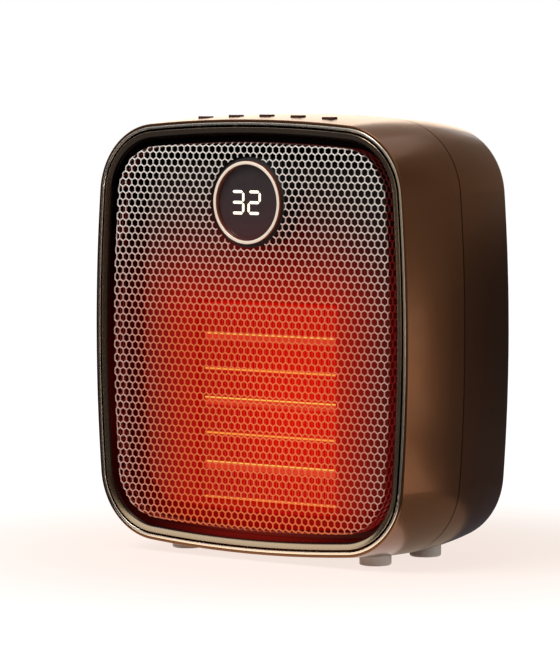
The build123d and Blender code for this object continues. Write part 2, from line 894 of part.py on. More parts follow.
def make_fan_frame():
    """Square fan housing with its struts, motor disc and bearing tube."""
    body = slab(Pos(0, core_z) * rounded(fan_size, fan_size, fan_corner), fan_front_depth, fan_rear_depth)
    body -= rod(fan_bore, fan_front_depth - overrun, fan_rear_depth + overrun, z=core_z)
    waist = slab(Pos(0, core_z) * (Rectangle(2 * fan_size, 2 * fan_size) - Circle(fan_bore + duct_wall)),
                 fan_front_depth + fan_ear, fan_rear_depth - fan_ear)
    body -= waist
    body += rod(motor_disc, motor_front_depth, fan_rear_depth, z=core_z)
    for k in range(strut_count):
        turn = Rot(0, 0, 360 / strut_count * (k + 1 / 2))
        bar = Pos((fan_bore + motor_disc) / 2) * Rectangle(fan_bore - motor_disc + 2 * duct_wall, strut_width)
        body += slab(Pos(0, core_z) * turn * bar, motor_front_depth, fan_rear_depth)
    tube_front = hub_front_depth + hub_wall + shaft_end_gap + bearing_inset
    body += rod(bearing_tube_radius, tube_front, motor_front_depth, z=core_z)
    body -= rod(bearing_radius, tube_front - overrun, fan_rear_depth - hub_wall, z=core_z)
    for x, z in corners(fan_hole_spacing / 2, fan_hole_spacing / 2):
        body -= rod(fan_hole_radius, fan_front_depth - overrun, fan_rear_depth + overrun, x, core_z + z)
    return body


def bearing_fronts():
    tube_front = hub_front_depth + hub_wall + shaft_end_gap + bearing_inset
    return (tube_front, fan_rear_depth - hub_wall - bearing_length - bearing_inset)


def make_fan_bearings():
    """Two sleeve bearings in the bearing tube."""
    sleeves = []
    for front in bearing_fronts():
        ring = Pos(0, core_z) * (Circle(bearing_radius) - Circle(shaft_radius + shaft_clear))
        sleeves.append(slab(ring, front, front + bearing_length).solid())
    return Compound(sleeves)


def make_rotor_shaft():
    rear = fan_rear_depth - hub_wall - bearing_inset / 2
    return rod(shaft_radius, hub_front_depth + hub_wall, rear, z=core_z)


def blade():
    """One blade along +X, its chord turned less and less towards the tip."""
    tip = fan_bore - blade_tip_gap
    middle = hub_front_depth + hub_depth / 2
    sections = []
    for reach, chord, angle in ((hub_radius - hub_wall / 2, blade_root_chord, blade_root_angle),
                                (tip + overrun, blade_tip_chord, blade_tip_angle)):
        plane = Plane(origin=(reach, rim_y + middle, rim_z + core_z), x_dir=(0, 1, 0), z_dir=(1, 0, 0))
        sections.append(plane * Rot(0, 0, angle) * Rectangle(blade_thick, chord))
    return loft(sections, ruled=True)


def make_fan_rotor():
    """Hub cup and blades of the impeller."""
    tip = fan_bore - blade_tip_gap
    rear = hub_front_depth + hub_depth
    axis = Axis((0, 0, rim_z + core_z), (0, 1, 0))
    one = blade()
    blades = one
    for k in range(1, blade_count):
        blades += one.rotate(axis, 360 / blade_count * k)
    keep = slab(Pos(0, core_z) * (Circle(tip) - Circle(hub_radius - hub_wall / 2)), fan_front_depth, rear)
    blades = blades & keep
    hub = rod(hub_radius, hub_front_depth, rear, z=core_z)
    hub -= rod(hub_radius - hub_wall, hub_front_depth + hub_wall, rear + overrun, z=core_z)
    boss_rear = hub_front_depth + hub_wall + shaft_end_gap / 2
    hub += rod(shaft_radius + hub_wall, hub_front_depth, boss_rear, z=core_z)
    hub -= rod(shaft_radius, hub_front_depth + hub_wall, hub_front_depth + 2 * hub_wall, z=core_z)
    return hub + blades


def magnet_span():
    rear = hub_front_depth + hub_depth - hub_wall
    return rear - magnet_height, rear


def make_rotor_yoke():
    """Steel ring inside the hub."""
    front, rear = magnet_span()
    outer = hub_radius - hub_wall
    return slab(Pos(0, core_z) * (Circle(outer) - Circle(outer - yoke_thick)), front, rear)


def make_rotor_magnet():
    front, rear = magnet_span()
    outer = hub_radius - hub_wall - yoke_thick
    return slab(Pos(0, core_z) * (Circle(outer) - Circle(outer - magnet_thick)), front, rear)


def stator_front():
    front, rear = magnet_span()
    return (front + rear - stator_stack) / 2


def make_motor_stator():
    """Laminated core with slots, pressed on the bearing tube."""
    front = stator_front()
    body = Circle(stator_outer) - Circle(bearing_tube_radius)
    for k in range(stator_teeth):
        gap = Pos(stator_outer) * Rectangle(stator_outer, stator_slot)
        body -= Rot(0, 0, 360 / stator_teeth * k) * gap
    return slab(Pos(0, core_z) * body, front, front + stator_stack)


def make_motor_coils():
    """Winding rings on the two sides of the stator core."""
    front = stator_front()
    middle = (stator_outer + bearing_tube_radius) / 2
    half = (stator_outer - bearing_tube_radius) / 3
    ring = Pos(0, core_z) * (Circle(middle + half / 2) - Circle(middle - half))
    coils = [slab(ring, front - coil_height, front).solid(),
             slab(ring, front + stator_stack, front + stator_stack + coil_height).solid()]
    return Compound(coils)


def make_fan_screws():
    screws = []
    seat = fan_rear_depth
    for x, z in corners(fan_hole_spacing / 2, fan_hole_spacing / 2):
        screws.append(pan_screw(fan_screw_radius, fan_screw_head, fan_screw_head_height,
                                seat - fan_screw_length, seat, x, core_z + z).solid())
    return Compound(screws)


def make_thermostat():
    """Disc thermostat on its mounting plate, behind the baffle."""
    front = flange_depth + flange_thick + baffle_thick
    plate_rear = front + thermostat_plate_thick
    place = Pos(thermostat_x, thermostat_z)
    plate = SlotOverall(thermostat_plate_width, 2 * thermostat_radius - 2 * thermostat_plate_thick)
    body = slab(place * plate, front, plate_rear)
    rear = plate_rear + thermostat_height
    body += rod(thermostat_radius, plate_rear, rear, thermostat_x, thermostat_z)
    for side in (-1, 1):
        body += block(tab_thick, tab_width, rear, rear + thermostat_tab_height,
                      thermostat_x + side * thermostat_radius / 2, thermostat_z)
    return body


def make_thermal_fuse():
    front = flange_depth + flange_thick + baffle_thick + fuse_clip_wall
    plane = Plane(origin=(fuse_x - fuse_length / 2, rim_y + front + fuse_radius, rim_z + thermostat_z),
                  x_dir=(0, 1, 0), z_dir=(1, 0, 0))
    return extrude(plane * Circle(fuse_radius), amount=fuse_length)


def make_fuse_clip():
    """Spring clip that holds the fuse against the baffle."""
    front = flange_depth + flange_thick + baffle_thick
    depth = fuse_clip_wall + 2 * fuse_radius + fuse_clip_wall / 2
    height = 2 * fuse_radius + 2 * fuse_clip_wall
    clip = block(fuse_clip_width, height, front, front + depth, fuse_x, thermostat_z)
    clip -= block(fuse_clip_width + overrun, 2 * fuse_radius, front + fuse_clip_wall, front + depth + overrun,
                  fuse_x, thermostat_z)
    return clip


def make_control_board():
    """Circuit board under the keys, with a chip and a plug socket."""
    length = control_board_back - control_board_front
    centre = (control_board_back + control_board_front) / 2
    board = tower(Pos(0, centre) * Rectangle(control_board_width, length),
                  control_board_top - board_thick, control_board_top)
    for x in (-control_post_x, control_post_x):
        board -= tower(Pos(x, control_post_depth) * Circle(small_screw_radius + small_screw_clear),
                       control_board_top - board_thick, control_board_top)
    return board


def make_key_switches():
    """Five tactile switches under the keys."""
    switches = []
    for x in key_places():
        place = Pos(x, key_depth_place)
        top = control_board_top + switch_height
        body = tower(place * Rectangle(switch_size, switch_size), control_board_top, top)
        well = plunger_sunk + key_travel + fit_gap
        body -= tower(place * Circle(plunger_radius + plunger_clear), top - well, top)
        switches.append(body.solid())
    return Compound(switches)


def make_key_plunger(x):
    top = control_board_top + switch_height
    return tower(Pos(x, key_depth_place) * Circle(plunger_radius), top - plunger_sunk, top + plunger_proud)


def make_key_cap(x):
    """Key with its stop flange under the case top and its stem down to the switch."""
    place = Pos(x, key_depth_place)
    deepest = key_depth_place - key_length / 2 - key_flange
    edge = abs(x) + key_width / 2 + key_flange
    roof = top_height(edge, deepest) - wall - key_flange_drop
    cap_top = top_height(x, key_depth_place) + key_proud
    cap = tower(place * Rectangle(key_width, key_length), roof - key_flange, cap_top)
    cap = fillet(cap.faces().sort_by(Axis.Z)[-1].edges(), key_round)
    cap += tower(place * Rectangle(key_width + 2 * key_flange, key_length + 2 * key_flange),
                 roof - key_flange, roof)
    cap += tower(place * Circle(key_stem_radius), control_board_top + switch_height + plunger_proud,
                 roof - key_flange)
    return cap


def make_power_board():
    board = block(power_board_width, power_board_height, power_board_depth,
                  power_board_depth + board_thick, z=power_board_z)
    for x, z in power_post_places():
        board -= rod(small_screw_radius + small_screw_clear, power_board_depth,
                     power_board_depth + board_thick, x, z)
    return board


def make_relays():
    """Two relays side by side on the power board."""
    relays = []
    for k in range(2):
        x = -power_board_width / 2 + 2 * power_post_inset + part_gap + relay_width / 2
        z = power_board_z + (k - 1 / 2) * (relay_height + part_gap)
        relays.append(block(relay_width, relay_height, power_board_depth - relay_depth, power_board_depth,
                            x, z).solid())
    return Compound(relays)


def make_film_capacitor():
    z = power_board_z + power_board_height / 2 - power_post_inset - capacitor_height / 2
    front = power_board_depth - capacitor_depth
    return block(capacitor_width, capacitor_height, front, power_board_depth, z=z)


def make_transformer():
    z = power_board_z - power_board_height / 2 + part_gap + transformer_height / 2
    body = block(transformer_width, transformer_height, power_board_depth - transformer_depth + part_gap / 2,
                 power_board_depth, 0, z)
    body += block(transformer_width / 2, transformer_height, power_board_depth - transformer_depth,
                  power_board_depth, 0, z)
    return body


def make_can_capacitors():
    cans = []
    for k in range(2):
        x = transformer_width / 2 + part_gap + can_radius
        z = power_board_z + (k - 1 / 2) * (2 * can_radius + part_gap)
        cans.append(rod(can_radius, power_board_depth - can_depth, power_board_depth, x, z).solid())
    return Compound(cans)


def make_terminal_block():
    """Screw terminals for the mains lead."""
    x = power_board_width / 2 - 2 * power_post_inset - terminal_height / 2
    body = block(terminal_height, terminal_width, power_board_depth - terminal_depth, power_board_depth,
                 x, power_board_z)
    for k in range(3):
        z = power_board_z + (k - 1) * terminal_width / 3
        body -= rod(small_head_radius, power_board_depth - terminal_depth - overrun,
                    power_board_depth - terminal_depth / 2, x, z)
    return body


def make_intake_panel():
    """Louvred panel in the rear window, held by its inner flange."""
    inner = case_depth - wall
    plug = rounded(intake_width - 2 * fit_gap, intake_height - 2 * fit_gap, intake_corner - fit_gap)
    panel = slab(Pos(0, intake_z) * plug, inner, case_depth)
    wide = intake_width + 2 * intake_flange
    tall = intake_height + 2 * intake_flange
    panel += slab(Pos(0, intake_z) * rounded(wide, tall, intake_corner + intake_flange),
                  inner - intake_flange_thick, inner)
    rows = int((intake_height - 2 * slot_border) / slot_pitch)
    clear = intake_width - 2 * slot_border - (slot_columns - 1) * slot_mullion
    width = clear / slot_columns
    slots = Sketch()
    for j in range(rows):
        z = intake_z + (j - (rows - 1) / 2) * slot_pitch
        for i in range(slot_columns):
            x = (i - (slot_columns - 1) / 2) * (width + slot_mullion)
            slots += Pos(x, z) * SlotOverall(width, slot_height)
    return panel - slab(slots, inner - intake_flange_thick - overrun, case_depth + overrun)


def make_cord_gland():
    """Bushing that the mains lead passes through."""
    inner = case_depth - wall - gland_inner_reach
    outer = case_depth + gland_flange_thick
    body = rod(gland_neck, inner, case_depth, gland_x, gland_z)
    body += rod(gland_flange, case_depth, outer, gland_x, gland_z)
    return body - rod(gland_bore, inner - overrun, outer + overrun, gland_x, gland_z)


def make_gland_nut():
    rear = case_depth - wall
    nut = RegularPolygon(gland_nut_across / 2, 6, major_radius=False) - Circle(gland_neck)
    return slab(Pos(gland_x, gland_z) * nut, rear - gland_nut_thick, rear)


def foot_pin(x, depth, grow):
    """Peg of a foot through the case bottom."""
    base = rear_floor(x, depth)
    return tower(Pos(x, depth) * Circle(foot_pin_radius + grow), base - overrun, base + foot_pin_length)


def make_feet(cases):
    """Four rubber feet that follow the curved bottom, each with its peg."""
    feet = []
    for depth in (foot_front_depth, foot_rear_depth):
        for x in (-foot_x, foot_x):
            top = rear_floor(x, depth) + wall / 2
            pad = tower(Pos(x, depth) * Circle(foot_radius), -rim_z, top)
            pad = fillet(pad.edges().sort_by(Axis.Z)[0], foot_round)
            foot = pad + foot_pin(x, depth, 0)
            for case in cases:
                foot -= case
            foot = max(foot.solids(), key=lambda solid: solid.volume)
            feet.append(foot)
    return Compound(feet)


def make_tip_switch():
    """Case of the tip-over switch, on its pad in the rear shell."""
    base = tip_base()
    place = Pos(tip_x, tip_depth)
    body = tower(place * Rectangle(tip_width, tip_length), base, base + tip_height)
    body -= tower(place * Circle(tip_cavity), base + tip_floor, base + tip_height - tip_roof)
    body -= tower(place * Circle(tip_rod + tip_rod_clear), base, base + tip_floor)
    return body


def tip_collar_base():
    return tip_base() + tip_floor + tip_travel + tip_stop_gap


def make_tip_plunger():
    """Rod that the floor holds up while the heater stands."""
    place = Pos(tip_x, tip_depth)
    base = tip_collar_base()
    plunger = tower(place * Circle(tip_rod), -rim_z, base)
    plunger = fillet(plunger.edges().sort_by(Axis.Z)[0], tip_rod / 4)
    return plunger + tower(place * Circle(tip_collar), base, base + tip_collar_thick)


def spring_span():
    return tip_collar_base() + tip_collar_thick, tip_base() + tip_height - tip_roof


def make_tip_spring():
    """Compression spring between the collar and the roof of the switch."""
    low, high = spring_span()
    low += spring_wire + spring_end_gap
    high -= spring_wire + spring_end_gap
    height = high - low
    path = Pos(tip_x, rim_y + tip_depth, rim_z + low) * Helix(height / spring_turns, height, spring_radius)
    wire = Plane(origin=path @ 0, z_dir=path % 0) * Circle(spring_wire)
    return sweep(wire, path=path)


def make_case_screws():
    screws = []
    for x, z in corners(post_x, post_z):
        tip = post_joint_depth - screw_grip
        screws.append(pan_screw(screw_radius, screw_head_radius, screw_head_height, tip,
                                screw_seat_depth, x, z).solid())
    return Compound(screws)


def make_front_screws():
    """Screws of the bezel and of the baffle, driven from the rear of the flange."""
    seat = flange_depth + flange_thick
    screws = [pan_screw(small_screw_radius, small_head_radius, small_head_height,
                        flange_depth - bezel_screw_grip, seat, x, z).solid()
              for x, z in bezel_screw_places()]
    screws += [pan_screw(small_screw_radius, small_head_radius, small_head_height,
                         seat - baffle_screw_grip, seat + baffle_thick, x, z).solid()
               for x, z in baffle_screw_places()]
    return Compound(screws)


def make_board_screws():
    """Screws that hang the control board from the case top and hold the power board."""
    screws = []
    seat = control_board_top - board_thick
    for x in (-control_post_x, control_post_x):
        place = Pos(x, control_post_depth)
        head = tower(place * Circle(small_head_radius), seat - small_head_height, seat)
        stem = tower(place * Circle(small_screw_radius), seat, seat + bezel_screw_grip)
        screws.append((head + stem).solid())
    for x, z in power_post_places():
        head = rod(small_head_radius, power_board_depth - small_head_height, power_board_depth, x, z)
        stem = rod(small_screw_radius, power_board_depth, power_board_depth + bezel_screw_grip, x, z)
        screws.append((head + stem).solid())
    return Compound(screws)


def make_heater_leads():
    """Wires from the terminal blades round the side of the fan to the relays."""
    start = -core_width / 2 - tab_reach
    end = -power_board_width / 2 + 2 * power_post_inset + part_gap
    near = core_tab_front() + tab_width / 2
    far = power_board_depth - relay_depth / 2
    leads = []
    for k, low in enumerate(tube_heights()):
        side = min(start, end) - lead_bend - (k + 1) * lead_spacing
        high = power_board_z + (k - 1) * (relay_height + part_gap) / 2
        route = [(start, near, low), (side, near, low), (side, near, high), (side, far, high),
                 (end, far, high)]
        path = FilletPolyline(*[(x, rim_y + y, rim_z + z) for x, y, z in route], radius=lead_bend)
        wire = Plane(origin=path @ 0, z_dir=path % 0) * Circle(lead_radius)
        leads.append(sweep(wire, path=path).solid())
    return Compound(leads)


key_names = ("timer", "cooler", "power", "warmer", "mode")


def build_parts():
    front_shell = make_front_shell()
    rear_shell = make_rear_shell()
    parts = {
        "front_shell": front_shell,
        "rear_shell": rear_shell,
        "trim_ring": make_trim_ring(),
        "bezel": make_bezel(),
        "front_grille": make_front_grille(),
        "display_ring": make_display_ring(),
        "display_housing": make_display_housing(),
        "display_lens": make_display_lens(),
        "display_digits": make_display_digits(),
        "display_module": make_display_module(),
        "display_board": make_display_board(),
        "core_baffle": make_core_baffle(),
        "core_holders": make_core_holders(),
        "heating_tubes": make_heating_tubes(),
        "ceramic_stones": make_ceramic_stones(),
        "terminal_tabs": make_terminal_tabs(),
        "spacer_plates": make_spacer_plates(),
        "fin_rows": make_fin_rows(),
        "fan_duct": make_fan_duct(),
        "fan_frame": make_fan_frame(),
        "fan_bearings": make_fan_bearings(),
        "fan_rotor": make_fan_rotor(),
        "rotor_shaft": make_rotor_shaft(),
        "rotor_yoke": make_rotor_yoke(),
        "rotor_magnet": make_rotor_magnet(),
        "motor_stator": make_motor_stator(),
        "motor_coils": make_motor_coils(),
        "fan_screws": make_fan_screws(),
        "thermostat": make_thermostat(),
        "thermal_fuse": make_thermal_fuse(),
        "fuse_clip": make_fuse_clip(),
        "control_board": make_control_board(),
        "key_switches": make_key_switches(),
        "power_board": make_power_board(),
        "relays": make_relays(),
        "film_capacitor": make_film_capacitor(),
        "transformer": make_transformer(),
        "can_capacitors": make_can_capacitors(),
        "terminal_block": make_terminal_block(),
        "intake_panel": make_intake_panel(),
        "cord_gland": make_cord_gland(),
        "gland_nut": make_gland_nut(),
        "feet": make_feet((front_shell, rear_shell)),
        "tip_switch": make_tip_switch(),
        "tip_plunger": make_tip_plunger(),
        "tip_spring": make_tip_spring(),
        "case_screws": make_case_screws(),
        "front_screws": make_front_screws(),
        "board_screws": make_board_screws(),
        "heater_leads": make_heater_leads(),
    }
    for name, x in zip(key_names, key_places()):
        parts[name + "_key"] = make_key_cap(x)
        parts[name + "_plunger"] = make_key_plunger(x)
    return parts


os.makedirs("parts", exist_ok=True)
for node, shape in build_parts().items():
    export_step(shape, "parts/" + node + ".step")
    print(node)
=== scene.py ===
"""Looks of a compact ceramic fan heater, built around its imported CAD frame.

Every length is given in millimetres behind the rim plane of the case and turned
to metres once, where a mesh or a node is made.
"""
import logging
import math
from dataclasses import dataclass
from enum import Enum
from typing import Any

import bmesh
import bpy
from mathutils import Matrix, Vector


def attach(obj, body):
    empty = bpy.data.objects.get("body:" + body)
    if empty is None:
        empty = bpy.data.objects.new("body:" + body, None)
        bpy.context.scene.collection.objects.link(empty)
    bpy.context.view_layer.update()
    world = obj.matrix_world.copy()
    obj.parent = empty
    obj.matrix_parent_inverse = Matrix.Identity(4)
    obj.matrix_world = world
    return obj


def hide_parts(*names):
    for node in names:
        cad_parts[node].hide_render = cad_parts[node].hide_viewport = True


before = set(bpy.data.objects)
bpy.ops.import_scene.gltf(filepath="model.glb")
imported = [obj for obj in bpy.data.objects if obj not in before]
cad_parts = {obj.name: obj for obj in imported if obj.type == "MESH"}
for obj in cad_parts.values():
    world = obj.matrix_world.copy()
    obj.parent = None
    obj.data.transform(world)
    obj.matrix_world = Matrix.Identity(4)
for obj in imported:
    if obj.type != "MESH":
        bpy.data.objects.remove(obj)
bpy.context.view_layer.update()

MM = 0.001
LOG = logging.getLogger("ceramic_heater")

MATH = "ShaderNodeMath"
VECTOR_MATH = "ShaderNodeVectorMath"
MIX = "ShaderNodeMix"
MAP_RANGE = "ShaderNodeMapRange"
# Sockets of a Mix node that mixes colours
SHARE, FIRST, SECOND, MIXED = 0, 6, 7, 2

Colour = tuple[float, float, float, float]
Socket = bpy.types.NodeSocket
Tree = bpy.types.NodeTree


def linear(code: str) -> Colour:
    """Turn an sRGB hex code into a linear colour.

    Args:
        code: Six hex digits, such as "d9a07a".

    Returns:
        Red, green, blue and an alpha of 1, all linear.
    """
    parts = []
    for start in (0, 2, 4):
        value = int(code[start:start + 2], 16) / 255
        parts.append(value / 12.92 if value <= 0.04045 else ((value + 0.055) / 1.055) ** 2.4)
    return parts[0], parts[1], parts[2], 1.0


def add(tree: Tree, kind: str, settings: dict[str | int, Any] | None = None) -> bpy.types.Node:
    """Add a node with its settings and its incoming links.

    Args:
        tree: Node tree of a material, a world or a modifier.
        kind: Type name of the node.
        settings: Values by property name, or by input name or index. A socket is linked
            to that input.

    Returns:
        The new node.
    """
    node = tree.nodes.new(kind)
    for key, value in (settings or {}).items():
        if isinstance(key, str) and hasattr(node, key):
            setattr(node, key, value)
        elif isinstance(value, Socket):
            tree.links.new(value, node.inputs[key])
        else:
            node.inputs[key].default_value = value
    return node


def node_tree(owner: bpy.types.Material | bpy.types.World) -> Tree:
    """Give the empty node tree of a new material or world."""
    owner.use_nodes = True
    owner.node_tree.nodes.clear()
    return owner.node_tree


def place_object(name: str, mesh: bpy.types.Mesh) -> bpy.types.Object:
    """Put a mesh into the scene as an object at the origin.

    Args:
        name: Name of the object.
        mesh: Its mesh, with its place in its points.

    Returns:
        The new object.
    """
    placed = bpy.data.objects.new(name, mesh)
    bpy.context.scene.collection.objects.link(placed)
    return placed


@dataclass(frozen=True)
class Place:
    """Where the rim of the case stands in the frame, in millimetres."""

    rim_y: float = -41.375
    rim_z: float = 98.2

    def at(self, x: float, depth: float, z: float) -> Vector:
        """Give the metres of a point beside, behind and above the rim centre."""
        return Vector((x, self.rim_y + depth, self.rim_z + z)) * MM


PLACE = Place()


@dataclass(frozen=True)
class RimOutline:
    """Eight-arc outline of the rim; every offset of it is concentric.

    Attributes:
        half_width: Half the width of the rim, in millimetres.
        half_height: Half its height.
        corner: Radius of the corners.
        side_bow: How far the long arcs at the sides bulge.
        top_bow: How far the long arcs at top and bottom bulge.
    """

    half_width: float = 85.7
    half_height: float = 95.0
    corner: float = 31.9
    side_bow: float = 2.5
    top_bow: float = 2.3

    @property
    def side_radius(self) -> float:
        """Radius of the long arcs at the sides."""
        return ((self.half_height - self.corner) ** 2 + self.side_bow ** 2) / (2 * self.side_bow)

    @property
    def top_radius(self) -> float:
        """Radius of the long arcs at top and bottom."""
        return ((self.half_width - self.corner) ** 2 + self.top_bow ** 2) / (2 * self.top_bow)

    @property
    def side_centre(self) -> Vector:
        """Centre of the right-hand side arc."""
        return Vector((self.half_width - self.side_radius, 0))

    @property
    def top_centre(self) -> Vector:
        """Centre of the upper arc."""
        return Vector((0, self.half_height - self.top_radius))

    @property
    def corner_centre(self) -> Vector:
        """Centre of the corner arc that is tangent to both long arcs.

        Returns:
            The point in the upper right quarter, in millimetres.
        """
        to_side = self.side_radius - self.corner
        to_top = self.top_radius - self.corner
        line = self.top_centre - self.side_centre
        along = (to_side ** 2 - to_top ** 2 + line.length ** 2) / (2 * line.length)
        across = math.sqrt(to_side ** 2 - along ** 2)
        unit = line.normalized()
        return self.side_centre + unit * along + Vector((-unit.y, unit.x)) * across

    def ring(self, offset: float, steps: int) -> list[Vector]:
        """Sample the outline once round.

        Args:
            offset: How far the line is moved outwards, in millimetres.
            steps: Parts that each half arc is split into.

        Returns:
            Points anticlockwise from the middle of the right-hand side.
        """
        def arc(centre: Vector, radius: float, first: float, last: float) -> list[Vector]:
            """Sample one arc, without its last point."""
            turns = [first + (last - first) * k / steps for k in range(steps)]
            return [centre + Vector((math.cos(a), math.sin(a))) * (radius + offset) for a in turns]

        side = (self.corner_centre - self.side_centre)
        top = (self.corner_centre - self.top_centre)
        low, high = math.atan2(side.y, side.x), math.atan2(top.y, top.x)
        quarter = (arc(self.side_centre, self.side_radius, 0.0, low)
                   + arc(self.corner_centre, self.corner, low, high)
                   + arc(self.top_centre, self.top_radius, high, math.pi / 2))
        quarter.append(self.top_centre + Vector((0, self.top_radius + offset)))
        left = [Vector((-p.x, p.y)) for p in reversed(quarter[:-1])]
        half = quarter + left
        return half + [Vector((p.x, -p.y)) for p in reversed(half[1:-1])]


RIM = RimOutline()


def behind(tree: Tree, first: float, last: float) -> Socket:
    """Tell how far a point lies behind the rim.

    Args:
        tree: Node tree of a material.
        first: Depth in millimetres at which the value is 0.
        last: Depth at which it is 1; it may be the smaller one.

    Returns:
        A value that goes smoothly from 0 to 1.
    """
    coords = add(tree, "ShaderNodeTexCoord")
    parts = add(tree, "ShaderNodeSeparateXYZ", {0: coords.outputs["Object"]})
    return add(tree, MAP_RANGE, {"interpolation_type": "SMOOTHSTEP",
                                 "From Min": (PLACE.rim_y + first) * MM,
                                 "From Max": (PLACE.rim_y + last) * MM,
                                 "Value": parts.outputs["Y"]}).outputs[0]


def forwards(tree: Tree, first: float, last: float) -> Socket:
    """Tell how far a surface faces the front.

    Args:
        tree: Node tree of a material.
        first: Cosine of the tilt at which the value is 0.
        last: Cosine at which it is 1; it may be the smaller one.

    Returns:
        A value that goes smoothly from 0 to 1.
    """
    skin = add(tree, "ShaderNodeNewGeometry")
    facing = add(tree, VECTOR_MATH, {"operation": "DOT_PRODUCT", 0: skin.outputs["Normal"],
                                     1: Vector((0.0, -1.0, 0.0))})
    return add(tree, MAP_RANGE, {"interpolation_type": "SMOOTHSTEP", "From Min": first,
                                 "From Max": last, "Value": facing.outputs["Value"]}).outputs[0]


def falloff(tree: Tree, way: Socket, slope: Vector) -> Socket:
    """Build a soft bell round the point where a vector is zero.

    Args:
        tree: Node tree of a material.
        way: The vector, in metres.
        slope: One over the reach along each axis; 0 leaves an axis out.

    Returns:
        A value of 1 in the middle that falls to 0 around it.
    """
    share = add(tree, VECTOR_MATH, {"operation": "MULTIPLY", 0: way, 1: slope}).outputs[0]
    square = add(tree, VECTOR_MATH, {"operation": "DOT_PRODUCT", 0: share, 1: share})
    power = add(tree, MATH, {"operation": "MULTIPLY", 0: square.outputs["Value"], 1: -1.0})
    return add(tree, MATH, {"operation": "EXPONENT", 0: power.outputs[0]}).outputs[0]


def repaint(tree: Tree, shader: bpy.types.Node, share: Socket, colour: str) -> None:
    """Cover the base colour of a shader with another one.

    Args:
        tree: Node tree of a material.
        shader: Its Principled node, whose base colour is linked.
        share: How much of the new colour shows, from 0 to 1.
        colour: The new colour, sRGB hex.
    """
    base = shader.inputs["Base Color"]
    mixed = add(tree, MIX, {"data_type": "RGBA", SHARE: share,
                            FIRST: base.links[0].from_socket, SECOND: linear(colour)})
    tree.links.new(mixed.outputs[MIXED], base)


@dataclass(frozen=True)
class HeatGlow:
    """Red light round the heating core, as two fields over the front of the heater; on the core's
    own parts it is their glow, on the surfaces round them it is painted light.

    Attributes:
        middle_x: Middle of the wide field, beside the middle of the rim, in millimetres.
        centre_z: Its height over the middle of the rim.
        half_x: Half the width over which it is full.
        half_z: Half the height over which it is full.
        fade: Distance over which its light fades.
        tint_fade: Distance over which the painted tint of the surface, the core's light painted
            into its colour, fades.
        tint_drop: How far the painted tint lies under the light.
        spot_x: Place of the hot spot beside the middle of the field.
        spot_width: Reach of the hot spot sideways.
        spot_height: Its reach upwards.
    """

    middle_x: float = 0.0
    centre_z: float = -30.3
    half_x: float = 34.0
    half_z: float = 42.0
    fade: float = 15.0
    tint_fade: float = 46.0
    tint_drop: float = 10.0
    spot_x: float = 16.0
    spot_width: float = 38.0
    spot_height: float = 48.0

    def way(self, tree: Tree, aside: float = 0.0, drop: float = 0.0) -> Socket:
        """Give the vector from the middle of the field to a point.

        Args:
            tree: Node tree of a material.
            aside: How far the middle is moved to the right, in millimetres.
            drop: How far it is moved down.

        Returns:
            The vector in metres.
        """
        coords = add(tree, "ShaderNodeTexCoord")
        middle = PLACE.at(self.middle_x + aside, 0.0, self.centre_z - drop)
        return add(tree, VECTOR_MATH, {"operation": "SUBTRACT", 0: coords.outputs["Object"],
                                       1: middle}).outputs[0]

    def mask(self, tree: Tree, fade: float, drop: float = 0.0) -> Socket:
        """Build the wide field.

        Args:
            tree: Node tree of a material.
            fade: Distance in millimetres over which it fades.
            drop: How far it is moved down, in millimetres.

        Returns:
            A value of 1 over the core that falls to 0 around it.
        """
        size = add(tree, VECTOR_MATH, {"operation": "ABSOLUTE", 0: self.way(tree, drop=drop)})
        half = Vector((self.half_x, 0.0, self.half_z)) * MM
        past = add(tree, VECTOR_MATH, {"operation": "SUBTRACT", 0: size.outputs[0], 1: half})
        kept = add(tree, VECTOR_MATH, {"operation": "MAXIMUM", 0: past.outputs[0],
                                       1: Vector((0.0, 0.0, 0.0))})
        return falloff(tree, kept.outputs[0], Vector((1.0, 0.0, 1.0)) / (fade * MM))

    def spot(self, tree: Tree) -> Socket:
        """Build the hot spot.

        Args:
            tree: Node tree of a material.

        Returns:
            A value of 1 at the hottest place that falls to 0 around it.
        """
        slope = Vector((1 / self.spot_width, 0.0, 1 / self.spot_height)) / MM
        return falloff(tree, self.way(tree, aside=self.spot_x), slope)


